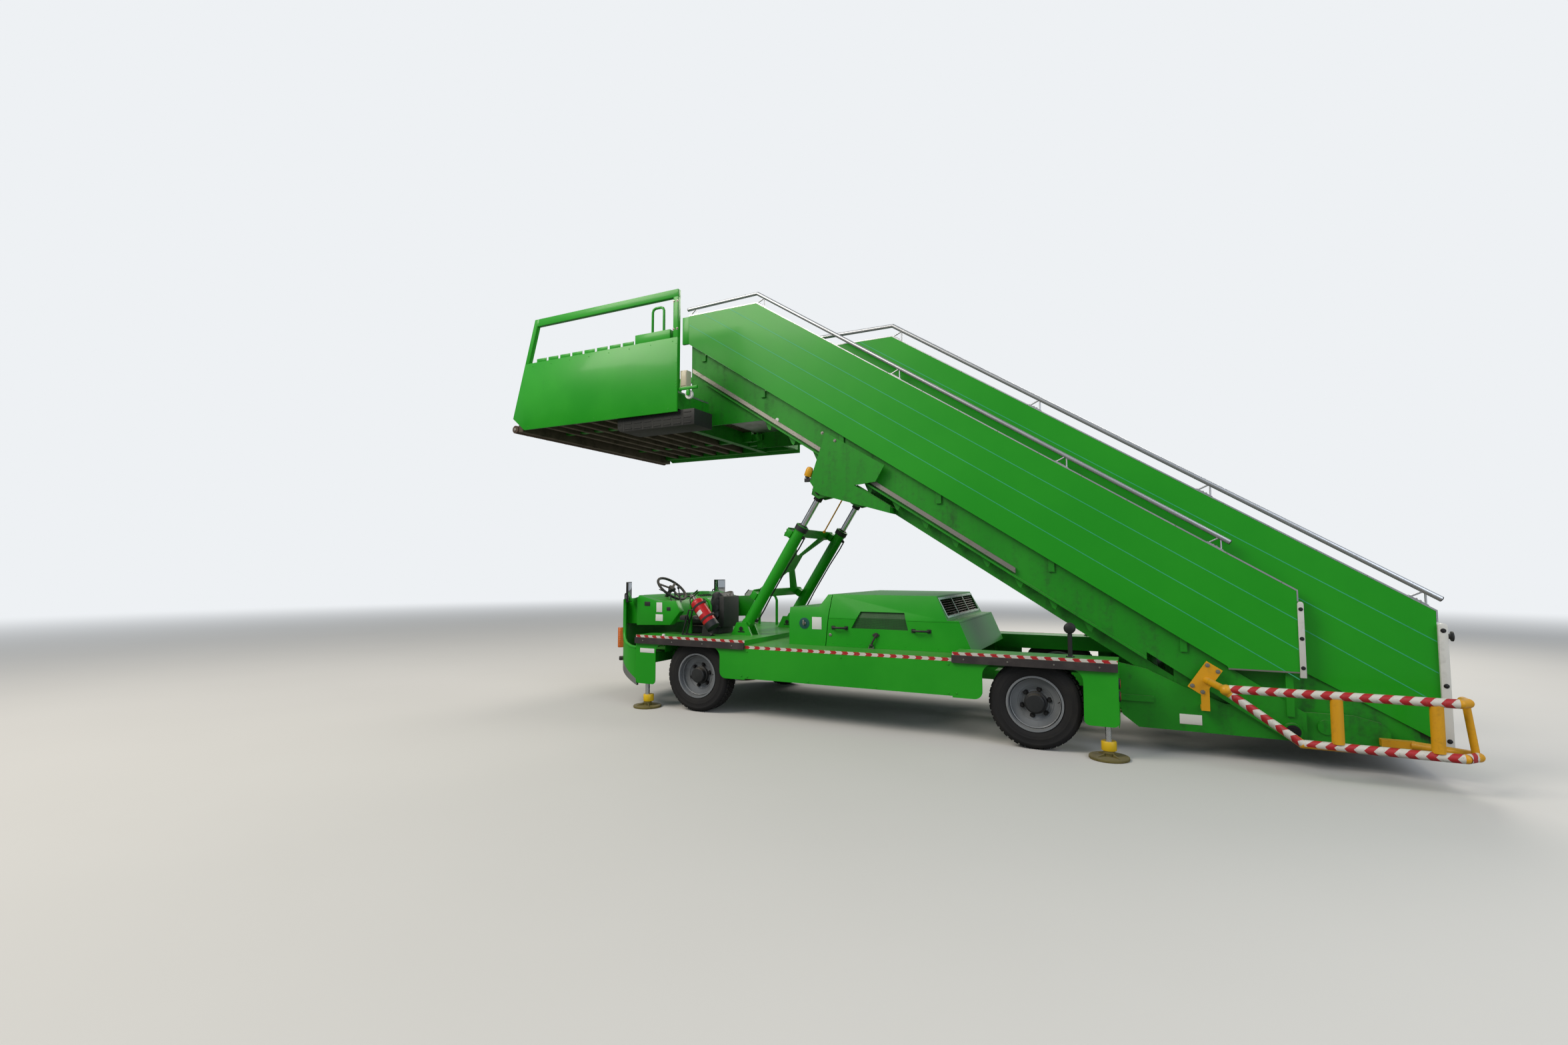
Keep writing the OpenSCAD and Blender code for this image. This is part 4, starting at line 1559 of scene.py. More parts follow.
        box = Shape().box(
            (-2.372, -0.945, 0.952), (-2.300, -0.865, 1.000)
        ).box((-2.364, -0.938, 1.000), (-2.308, -0.872, 1.008))
        self.put(box, "stand_switch_box", f.plastic, soft=0.003)

    def outfit(self) -> None:
        """Builds the far side shield, the headlamps, the wall's bolts and the marker lamps' ribs."""
        f = self.finishes
        place = upright(0.912)
        shield = Shape().prism(
            [
                (-2.585, 0.7905), (-2.395, 0.7905), (-2.345, 0.90), (-2.345, 1.10), (-2.400, 1.225), (-2.545, 1.235),
                (-2.600, 1.18)
            ],
            0.010, place
        )
        self.put(shield, "side_shield", f.plate, soft=0.001)
        edge = Shape().tube([(-2.588, 0.907, 0.7915), (-2.603, 0.907, 1.18), (-2.548, 0.907, 1.2385)], 0.0085, 8)
        self.put(edge, "side_shield_edge", f.rubber)
        lens, bezel = Shape(), Shape()
        at = turned((-3.2803, -0.50, 0.72), UP, FRONT)
        lens.lathe([(0.0, 0.0), (0.070, 0.0), (0.066, 0.010), (0.040, 0.020), (0.0, 0.023)], at, 32)
        bezel.lathe([(0.069, 0.0), (0.088, 0.0), (0.086, 0.012), (0.076, 0.020), (0.069, 0.012)], at, 32, ring=True)
        self.pair(lens, "headlamp_lenses", f.lens)
        self.pair(bezel, "headlamp_bezels", f.plastic)
        bolts = [Spot((-3.2802, y, z), FRONT) for y in (-0.58, 0.0, 0.58) for z in (0.52, 0.98)]
        self.add(self.shop.bolts("front_wall_bolts", bolts, 0.008, 0.006), slot="green_paint")
        ribs = [Spot((-3.219, s * 0.926, 0.632 + 0.0215 * i), UP) for i in range(10) for s in (-1, 1)]
        hoop = Shape().lathe(
            [(0.0352, 0.0), (0.0366, 0.002), (0.0366, 0.005), (0.0352, 0.007)], Matrix.Identity(4), 20, ring=True
        )
        self.add(self.shop.spots("marker_lamp_ribs", hoop, f.amber, ribs))

    def build(self) -> None:
        """Builds the whole driver's place."""
        self.seat()
        self.console()
        self.extinguisher()
        self.outfit()


@dataclass
class EngineHousing(Assembly):
    """Handles, screens, latches, lock and plates of the hood and its fixed front part."""

    half: float = 0.80
    floor: float = 0.74
    window: tuple[tuple[float, float], ...] = ((-0.38, 0.930), (-0.285, 1.098), (0.168, 1.098), (0.21, 0.930))
    knee: float = 1.035
    lean: float = 0.2826

    def _wall(self, z: float) -> float:
        """Returns how far out the housing's side stands at height z."""
        return self.half - max(0.0, z - self.knee) * self.lean

    def screens(self) -> None:
        """Builds the punched screens in the side windows and their inner frames."""
        (x0, z0), (x1, z1), (x2, _), (x3, _) = self.window
        share = (self.knee - z0) / (z1 - z0)
        lip = 0.012
        low = [(x0 - lip, z0 - lip), (x3 + lip, z0 - lip)]
        mid = [(x0 + (x1 - x0) * share - lip, self.knee), (x3 + (x2 - x3) * share + lip, self.knee)]
        high = [(x1 - lip, z1 + lip), (x2 + lip, z1 + lip)]
        shape = Shape()
        rows = []
        for depth in (0.0205, 0.0225):
            rows.append([
                [shape.bm.verts.new(Vector((x, -(self._wall(z) - depth), z))) for x, z in pair]
                for pair in (low, mid, high)
            ])
        for a, b in ((0, 1), (1, 2)):
            shape.bm.faces.new((rows[0][a][0], rows[0][a][1], rows[0][b][1], rows[0][b][0]))
            shape.bm.faces.new((rows[1][a][0], rows[1][b][0], rows[1][b][1], rows[1][a][1]))
            for k in (0, 1):
                shape.bm.faces.new((rows[0][a][k], rows[0][b][k], rows[1][b][k], rows[1][a][k]))
        for a in (0, 2):
            shape.bm.faces.new((rows[0][a][0], rows[0][a][1], rows[1][a][1], rows[1][a][0]))
        self.pair(shape, "hood_screens", self.finishes.screen, body="hood", smooth=False)

    def handles(self) -> None:
        """Builds the bow handles, rubber latches, locks and rivets."""
        f, shape = self.finishes, Shape()
        y = -self.half
        for x0, x1 in ((-0.59, -0.416), (0.246, 0.433)):
            path = [
                (x0 + 0.016, y + 0.002, 0.930), (x0 + 0.017, y - 0.026, 0.930), (x0 + 0.030, y - 0.040, 0.931),
                (x1 - 0.030, y - 0.040, 0.931), (x1 - 0.017, y - 0.026, 0.930), (x1 - 0.016, y + 0.002, 0.930)
            ]
            shape.tube(path, 0.0105, 10)
            for x in (x0 + 0.016, x1 - 0.016):
                shape.box((x - 0.018, y - 0.008, 0.912), (x + 0.018, y - 0.0003, 0.948))
        self.pair(shape, "hood_handles", f.plastic)
        latch = Shape().box(
            (-0.150, y - 0.010, 0.862), (-0.085, y - 0.0003, 0.884)
        ).box((-0.128, y - 0.018, 0.850), (-0.098, y - 0.008, 0.896))
        latch.tube(
            [
                (-0.113, y - 0.016, 0.870), (-0.128, y - 0.024, 0.838), (-0.150, y - 0.022, 0.800),
                (-0.160, y - 0.018, 0.772)
            ],
            0.0095, 8
        )
        latch.lathe(
            [(0.0, -0.018), (0.013, -0.016), (0.015, 0.0), (0.013, 0.016), (0.0, 0.018)],
            turned((-0.161, y - 0.018, 0.770), UP, REAR), 12
        )
        self.pair(latch, "hood_latches", f.rubber, soft=0.001)
        hook = Shape().box(
            (-0.190, y - 0.040, 0.7403), (-0.132, y - 0.004, 0.7445)
        ).box(
            (-0.186, y - 0.032, 0.7445), (-0.180, y - 0.006, 0.760)
        ).box((-0.142, y - 0.032, 0.7445), (-0.136, y - 0.006, 0.760))
        self.pair(hook, "latch_hooks", f.steel, soft=0.0008)
        lock = Shape().lathe(
            [(0.0, 0.0), (0.0165, 0.0), (0.0165, 0.003), (0.012, 0.005), (0.0, 0.005)],
            turned((-0.607, y - 0.0003, 0.855), REAR, LEFT), 20
        )
        lock.box((-0.609, y - 0.0068, 0.850), (-0.605, y - 0.0053, 0.860))
        self.pair(lock, "hood_locks", f.steel)
        rivets = [Spot((x, y, 0.772), LEFT) for x in (-0.58, -0.42, -0.28, 0.02, 0.18, 0.34, 0.50, 0.66)]
        self.add(self.shop.rivets("hood_rivets", both_sides(rivets), f.green, 0.006))

    def rear_grille(self) -> None:
        """Builds the pale frame, mullions and slats of the opening in the rear slope."""
        f = self.finishes
        a = GRILLE_SLOPE
        place = turned(
            (0.475, 0.0, self.floor + 0.525), (math.sin(a), 0, -math.cos(a)), (math.cos(a), 0, math.sin(a))
        )
        frame = Shape()
        edge, low, high, wide = 0.705, 0.040, 0.215, 0.020
        for x0, x1, y0, y1 in (
            (low - wide, low + 0.002, -edge - wide, edge + wide),
            (high - 0.002, high + wide, -edge - wide, edge + wide),
            (low, high, -edge - wide, -edge + 0.002), (low, high, edge - 0.002, edge + wide),
            (low, high, -0.245, -0.225), (low, high, 0.225, 0.245),
        ):
            frame.box((x0, y0, 0.0004), (x1, y1, 0.0050), place)
        self.put(frame, "grille_frame", f.pale, body="hood", soft=0.0012)
        slat = Shape().box(
            (-0.014, -edge - 0.004, -0.0012), (0.014, edge + 0.004, 0.0012), Matrix.Rotation(math.radians(12), 4, "Y")
        )
        step = place.to_3x3() @ Vector((0.0245, 0, 0))
        start = place @ Vector((low + 0.014, 0, -0.016))
        self.add(self.shop.row("grille_slats", slat, f.plastic, 7, start, step), body="hood")
        spots = [
            Spot(place @ Vector((x, y, 0.0050)), place.to_3x3() @ Vector(UP))
            for y in (-0.714, -0.47, -0.235, 0.0, 0.235, 0.47, 0.714) for x in (low - 0.010, high + 0.010)
        ]
        self.add(self.shop.rivets("grille_screws", spots, f.steel, 0.0055), body="hood")

    def front_box(self) -> None:
        """Builds the main switch and the blank plates on the fixed front part."""
        f, y = self.finishes, -self.half
        plates = Shape().box((-0.812, y - 0.0016, 0.905), (-0.705, y - 0.0003, 1.030))
        self.put(plates, "front_box_blank_plate", f.plate, soft=0.0005)
        dial = Shape().lathe(
            [(0.0, 0.0), (0.058, 0.0), (0.058, 0.002), (0.054, 0.003), (0.0, 0.003)],
            turned((-0.900, y - 0.0003, 0.962), REAR, LEFT), 36
        )
        self.put(dial, "main_switch_plate", f.teal)
        knob = Shape().lathe(
            [(0.0, 0.003), (0.022, 0.003), (0.020, 0.012), (0.010, 0.016), (0.0, 0.016)],
            turned((-0.900, y, 0.962), REAR, LEFT), 24
        )
        knob.box((-0.907, y - 0.030, 0.942), (-0.893, y - 0.014, 0.998))
        self.put(knob, "main_switch_lever", f.steel, soft=0.002)
        cap = Shape().lathe(
            [(0.0, 0.0), (0.045, 0.0), (0.045, 0.018), (0.038, 0.024), (0.0, 0.026)],
            turned((-0.93, 0.8003, 0.98), REAR, RIGHT), 28
        )
        cap.box((-0.960, 0.826, 0.973), (-0.900, 0.834, 0.987))
        self.put(cap, "fuel_filler_cap", f.plastic, soft=0.0015)
        seam = [
            Spot((x, s * 0.70, 1.1253 + (x + 1.075) * 0.0303), UP) for x in (-1.05, -0.91, -0.77) for s in (-1, 1)
        ]
        self.add(self.shop.rivets("front_box_screws", seam, f.steel, 0.007))

    def build(self) -> None:
        """Builds the whole housing's fittings."""
        self.screens()
        self.handles()
        self.rear_grille()
        self.front_box()


@dataclass
class WorkLamps(Assembly):
    """Lenses, cooling rings and bolts of the two work lamps."""

    at: tuple[float, float, float] = (1.684, 1.05, 1.0303)

    def build(self) -> None:
        """Builds both lamps' lenses, fins and bolts."""
        x, y, z = self.at
        f = self.finishes
        lens = Shape().lathe(
            [(0.0, 0.0), (0.037, 0.0), (0.034, 0.006), (0.0, 0.011)], turned((x, -y + 0.0322, z), REAR, RIGHT), 24
        )
        self.pair(lens, "work_lamp_lenses", f.lens)
        rings = Shape()
        for i in range(4):
            rings.lathe(
                [(0.0436, 0.0), (0.0462, 0.001), (0.0462, 0.003), (0.0436, 0.004)],
                turned((x, -y - 0.024 + 0.012 * i, z), REAR, RIGHT), 28, ring=True
            )
        self.pair(rings, "work_lamp_fins", f.plastic)
        feet = [Spot((x + 0.026 * math.cos(a), -y + 0.026 * math.sin(a), 0.7985), UP) for a in (0.8, 2.4, 3.9, 5.5)]
        self.add(self.shop.bolts("work_lamp_bolts", both_sides(feet), 0.005, 0.004))


@dataclass
class FootGuard(Assembly):
    """Chevron tape round the outer faces of the tube guard, with its bolts."""

    out: float = 1.10
    tube: float = 0.030
    high: float = 0.622
    low: float = 0.260

    def _wrap(self) -> list[tuple[float, float, float]]:
        """Returns the closed outline of a tape bent round the outer half of the tube."""
        angles = [math.radians(a) for a in range(-100, 101, 20)]
        outer = [
            ((self.tube + 0.0014) * math.cos(a), (self.tube + 0.0014) * math.sin(a), i / 10)
            for i, a in enumerate(angles)
        ]
        inner = [
            ((self.tube + 0.0003) * math.cos(a), (self.tube + 0.0003) * math.sin(a), i / 10)
            for i, a in enumerate(angles)
        ]
        return outer + inner[::-1]

    def build(self) -> None:
        """Builds tapes and bolts on both sides."""
        y, shape = -self.out, Shape()
        shape.sweep([(2.800, y, 0.618), (3.46, y, 0.620), (4.112, y, self.high)], self._wrap(), LEFT)
        shape.sweep(
            [(2.810, y, 0.579), (3.238, y, self.low + 0.0015), (3.70, y, self.low), (4.122, y, self.low)],
            self._wrap(), LEFT
        )
        made = shape.mirrored().piece("guard_tapes", self.finishes.guard_tape)
        self.add(made)
        corner = Shape().sweep(
            [(4.136, y, self.low), (4.178, y + 0.048, self.low), (4.218, y + 0.093, self.low)], self._wrap(),
            (0.7, -0.7, 0)
        )
        self.pair(corner, "guard_corner_tapes", self.finishes.guard_tape)
        turn = Matrix.Translation((2.66, 0, 0.65)) @ Matrix.Rotation(math.atan(RISE_PER_RUN), 4, "Y")
        spots = [Spot(turn @ Vector((a, -0.8602, b)), LEFT) for a in (-0.042, 0.042) for b in (-0.095, 0.105)]
        self.add(self.shop.bolts("guard_bolts", both_sides(spots), 0.011, 0.009))


@dataclass
class Stabiliser(Assembly):
    """Foot rim, ring and ribs of one stabiliser leg."""

    name: str
    x: float
    side: Side
    out: float = 1.10

    def build(self) -> None:
        """Builds the leg's small parts."""
        place = Matrix.Translation((self.x, self.side.value * self.out, 0.0))
        f = self.finishes
        rim = Shape().lathe(
            [(0.1502, 0.002), (0.1530, 0.004), (0.1530, 0.018), (0.1502, 0.020)], place, 48, ring=True
        )
        rim.lathe([(0.0402, 0.044), (0.047, 0.044), (0.047, 0.0540), (0.0402, 0.0540)], place, 28, ring=True)
        self.put(rim, f"foot_rims_{self.name}", f.foot, body=f"stabiliser_{self.name}")
        ribs = Shape()
        for i in range(4):
            ribs.prism(
                [(0.0402, 0.0221), (0.118, 0.0221), (0.108, 0.0275), (0.0402, 0.0480)], 0.008,
                place @ Matrix.Rotation(math.radians(45 + 90 * i), 4, "Z") @ upright(0.004)
            )
        self.put(ribs, f"foot_ribs_{self.name}", f.foot, body=f"stabiliser_{self.name}", soft=0.001)


@dataclass
class Flight(Assembly):
    """Treads, trims and screws common to both flights."""

    name: str
    half: float
    tread_half: float
    steps: int
    first: tuple[float, float]
    run: float
    rise: float
    edge: Callable[[float], float]
    rail: float
    brackets: tuple[float, ...]
    rail_ends: tuple[tuple[float, float], ...]

    def treads(self) -> None:
        """Builds the raised ribs and the nosing strip of every tread."""
        f, body = self.finishes, f"{self.name}_flight"
        ribs = Shape()
        for i in range(11):
            x = -self.run + 0.018 + 0.0235 * i
            ribs.box((x, -self.tread_half + 0.012, 0.0002), (x + 0.009, self.tread_half - 0.012, 0.0032))
        x, z = self.first
        start = (x + self.run, 0.0, z - self.rise)
        made = self.shop.row(
            f"{self.name}_tread_ribs", ribs, f.aluminium, self.steps, start, (self.run, 0.0, -self.rise)
        )
        self.add(made, body=body)
        nose = Shape().box((-0.032, -self.tread_half + 0.006, 0.0002), (0.0032, self.tread_half - 0.006, 0.0036))
        nose.box((0.0002, -self.tread_half + 0.006, -0.028), (0.0032, self.tread_half - 0.006, 0.0002))
        made = self.shop.row(
            f"{self.name}_nosings", nose, f.yellow, self.steps + 1, (x, 0.0, z), (self.run, 0.0, -self.rise)
        )
        self.add(made, body=body)
        grip = Shape().box((-0.026, -self.tread_half + 0.02, 0.0036), (-0.006, self.tread_half - 0.02, 0.0048))
        made = self.shop.row(
            f"{self.name}_grip_strips", grip, f.rubber, self.steps + 1, (x, 0.0, z), (self.run, 0.0, -self.rise)
        )
        self.add(made, body=body)

    def rails(self) -> None:
        """Builds the rail plugs and the screws of the brackets and trims."""
        f, body, plugs = self.finishes, f"{self.name}_flight", Shape()
        y = -self.rail
        (x0, z0), (x1, z1) = self.rail_ends
        for x, z, sign in ((x0, z0, -1), (x1, z1, 1)):
            ahead = Vector(REAR) if sign < 0 else DOWNHILL
            at = turned((x, y, z), RIGHT, ahead * sign)
            plugs.lathe(
                [(0.0, -0.004), (0.0188, -0.004), (0.0206, 0.0), (0.0206, 0.003), (0.015, 0.006), (0.0, 0.0075)], at,
                20
            )
        self.pair(plugs, f"{self.name}_rail_plugs", f.plastic, body=body)
        spots = []
        for x in self.brackets:
            for back in (0.052, 0.030):
                xx = x - back
                tilt = (self.edge(xx - 0.05) - self.edge(xx + 0.05)) / 0.1
                spots.append(
                    Spot(
                        (
                            xx, y,
                            self.edge(x - 0.096) + (
                                self.edge(x + 0.014) - self.edge(x - 0.096)
                            ) * (0.096 - back) / 0.110 + 0.0168
                        ),
                        (tilt, 0, 1)
                    )
                )
        self.add(self.shop.bolts(f"{self.name}_bracket_bolts", both_sides(spots), 0.006, 0.005), body=body)
        low = UPPER_KNEE + 0.1 if self.name == "upper" else LOWER_KNEE + 0.1
        high = 3.2 if self.name == "upper" else 4.05
        out = self.half + (0.0015 if self.name == "upper" else 0.0013)
        spots = [
            Spot((low + (high - low) * i / 13, -out, self.edge(low + (high - low) * i / 13) + 0.0045), LEFT)
            for i in range(14)
        ]
        self.add(self.shop.rivets(f"{self.name}_trim_screws", both_sides(spots), f.steel, 0.0045), body=body)

    def build(self) -> None:
        """Builds the flight's common parts."""
        self.treads()
        self.rails()


@dataclass
class LowerFlight(Flight):
    """Lower flight with its post bolts, foot lamps and guide box fittings."""

    home: ClassVar[str] = "lower_flight"

    def posts(self) -> None:
        """Builds the dark bolts of the white posts and the round lamps behind them."""
        f = self.finishes
        y = -(self.half + 0.025)
        spots = [Spot((4.158, y, z), LEFT) for z in (1.085, 0.690, 0.300)]
        self.add(self.shop.bolts("lower_post_bolts", both_sides(spots), 0.011, 0.007, f.black_bolt))
        lamp, glass = Shape(), Shape()
        at = turned((4.1852, -0.722, 1.045), UP, REAR)
        lamp.lathe(
            [
                (0.0, 0.0), (0.018, 0.0), (0.020, 0.012), (0.036, 0.020), (0.036, 0.028), (0.030, 0.028),
                (0.030, 0.024), (0.0, 0.024)
            ],
            at, 24
        )
        glass.lathe([(0.0, 0.0245), (0.0295, 0.0245), (0.024, 0.030), (0.0, 0.033)], at, 24)
        self.pair(lamp, "foot_lamps", f.plastic)
        self.pair(glass, "foot_lamp_glass", f.ruby)

    def guides(self) -> None:
        """Builds the bolts, the warning lamp and the check rod of the guide boxes."""
        f, y = self.finishes, -0.8662
        spots = [Spot((x, y, upper_line(x) + 0.010), LEFT) for x in (-0.66, -0.52)]
        self.add(self.shop.bolts("guide_box_bolts", both_sides(spots), 0.011, 0.009))
        base = Shape().box((-0.868, -0.863, 2.430), (-0.765, -0.838, 2.470))
        base.lathe(
            [(0.0, 0.0), (0.026, 0.0), (0.024, 0.018), (0.0, 0.018)],
            turned((-0.842, -0.850, 2.4702), REAR, (0.35, 0, 1)), 20
        )
        self.put(base, "warning_lamp_base", f.plastic, soft=0.002)
        lamp = Shape().lathe(
            [(0.0, 0.018), (0.036, 0.018), (0.040, 0.030), (0.038, 0.088), (0.028, 0.116), (0.0, 0.124)],
            turned((-0.842, -0.850, 2.4702), REAR, (0.35, 0, 1)), 28
        )
        self.put(lamp, "warning_lamp", f.yellow, slot=None)
        prop = Shape().tube([(-0.7745, 0.0, 2.350), (-0.90, 0.0, 2.148), (-1.022, 0.0, 1.952)], 0.008, 10)
        prop.lathe(
            [(0.0, -0.018), (0.017, -0.010), (0.017, 0.010), (0.0, 0.018)], Matrix.Translation((-1.022, 0, 1.952)), 14
        )
        prop.box((-0.792, -0.016, 2.332), (-0.700, 0.016, 2.372))
        self.put(prop, "check_rod", f.yellow, soft=0.001)

    def build(self) -> None:
        """Builds the lower flight."""
        super().build()
        self.posts()
        self.guides()


@dataclass
class UpperFlight(Flight):
    """Upper flight with its post bolts, landing ribs, strip screws and end roller caps."""

    home: ClassVar[str] = "upper_flight"

    def build(self) -> None:
        """Builds the upper flight."""
        super().build()
        f = self.finishes
        y = -(self.half + 0.008)
        spots = [Spot((3.310, y, z), LEFT) for z in (1.221, 0.997, 0.775)]
        self.add(self.shop.bolts("upper_post_bolts", both_sides(spots), 0.010, 0.007, f.black_bolt))
        landing = Shape().box((-0.0045, -self.tread_half + 0.012, 0.0002), (0.0045, self.tread_half - 0.012, 0.0032))
        made = self.shop.row("landing_ribs", landing, f.aluminium, 30, (-2.318, 0.0, 3.4), (0.0297, 0.0, 0.0))
        self.add(made)
        spots = [Spot((x, -0.8182, upper_line(x) - 0.184), LEFT) for x in [-2.26 + 0.248 * i for i in range(15)]]
        self.add(self.shop.rivets("wear_strip_screws", both_sides(spots), f.steel, 0.006))
        disc_at = turned((3.230, -0.8302, 0.290), REAR, LEFT)
        roller = Shape().lathe(
            [(0.0, 0.0), (0.050, 0.0), (0.050, 0.004), (0.030, 0.006), (0.028, 0.012), (0.0, 0.013)], disc_at, 28
        )
        self.pair(roller, "end_roller_caps", f.black_bolt)
        plug = Shape().lathe(
            [(0.0, 0.0), (0.022, 0.0), (0.020, 0.004), (0.0, 0.005)], turned((-1.231, -0.7824, 3.1375), REAR, LEFT),
            24
        )
        self.pair(plug, "stringer_plugs", f.plate)


@dataclass
class Lift(Assembly):
    """Pin caps, clamp bolts, gland rings and ports of the twin cylinders."""

    home: ClassVar[str] = "barrels"
    foot: tuple[float, float] = (-1.743, 0.860)
    eye: tuple[float, float] = (-0.800, 2.346)
    out: float = 0.565
    barrel: float = 1.34

    def _place(self) -> Matrix:
        """Returns the frame of the left cylinder with Z up along it."""
        axis = Vector((self.eye[0] - self.foot[0], 0, self.eye[1] - self.foot[1])).normalized()
        across = Vector((axis.z, 0, -axis.x))
        return turned((self.foot[0], -self.out, self.foot[1]), across, axis)

    def build(self) -> None:
        """Builds everything on barrels, rods and pins."""
        f, place = self.finishes, self._place()
        length = math.hypot(self.eye[0] - self.foot[0], self.eye[1] - self.foot[1])
        out = place.to_3x3() @ Vector(FRONT)
        spots = []
        for z in (0.362, 0.404, 1.172, 1.214):
            for dy in (-0.028, 0.028):
                spots.append(Spot(place @ Vector((-0.1275, dy, z)), out))
        self.add(self.shop.bolts("clamp_bolts", both_sides(spots), 0.010, 0.009))
        gland = Shape().lathe(
            [
                (0.0712, self.barrel - 0.062), (0.0735, self.barrel - 0.060), (0.0735, self.barrel - 0.008),
                (0.0712, self.barrel - 0.006)
            ],
            place, 40, ring=True
        )
        gland.lathe(
            [
                (0.0332, self.barrel + 0.0002), (0.052, self.barrel + 0.0002), (0.048, self.barrel + 0.010),
                (0.0345, self.barrel + 0.013)
            ],
            place, 32, ring=True
        )
        self.pair(gland, "gland_rings", f.plastic)
        port = Shape()
        for z in (0.150, self.barrel - 0.110):
            at = place @ Matrix.Translation((0.0625, 0, z)) @ Matrix.Rotation(math.radians(90), 4, "Y")
            port.lathe(
                [(0.0, 0.0), (0.018, 0.0), (0.018, 0.014), (0.012, 0.016), (0.012, 0.030), (0.0, 0.031)], at, 12
            )
        port.tube(
            [
                place @ Vector(p)
                for p in (
                    (0.088, 0, 0.158), (0.090, 0, 0.30), (0.080, 0, 0.5), (0.080, 0, 0.9), (0.090, 0, 1.12),
                    (0.088, 0, 1.222)
                )
            ],
            0.008, 8
        )
        self.pair(port, "cylinder_ports", f.black_bolt)
        boss = Shape().lathe(
            [(0.0335, length - 0.106), (0.047, length - 0.103), (0.049, length - 0.050), (0.0335, length - 0.048)],
            place, 24, ring=True
        )
        self.pair(boss, "rod_collars", f.black_bolt, body="rods")
        pins = Shape()
        for y in (-self.out - 0.0952, -self.out + 0.0952):
            pins.lathe(
                [(0.0, 0.0), (0.0275, 0.0), (0.026, 0.005), (0.0, 0.006)],
                turned((self.foot[0], y, self.foot[1]), REAR, (0, -1 if y < -self.out else 1, 0)), 24
            )
            pins.box(
                (self.foot[0] - 0.042, y - (0.005 if y < -self.out else 0.0), self.foot[1] - 0.036),
                (self.foot[0] + 0.042, y + (0.0 if y < -self.out else 0.005), self.foot[1] - 0.026)
            )
        self.pair(pins, "foot_pin_caps", f.black_bolt, body="chassis")
        caps = Shape()
        for y, s in ((-self.out - 0.1052, -1), (-self.out + 0.1052, 1)):
            caps.lathe(
                [(0.0, 0.0), (0.030, 0.0), (0.030, 0.006), (0.018, 0.008), (0.0, 0.012)],
                turned((self.eye[0], y, self.eye[1]), REAR, (0, s, 0)), 24
            )
        self.pair(caps, "eye_pin_caps", f.black_bolt, body="lower_flight")


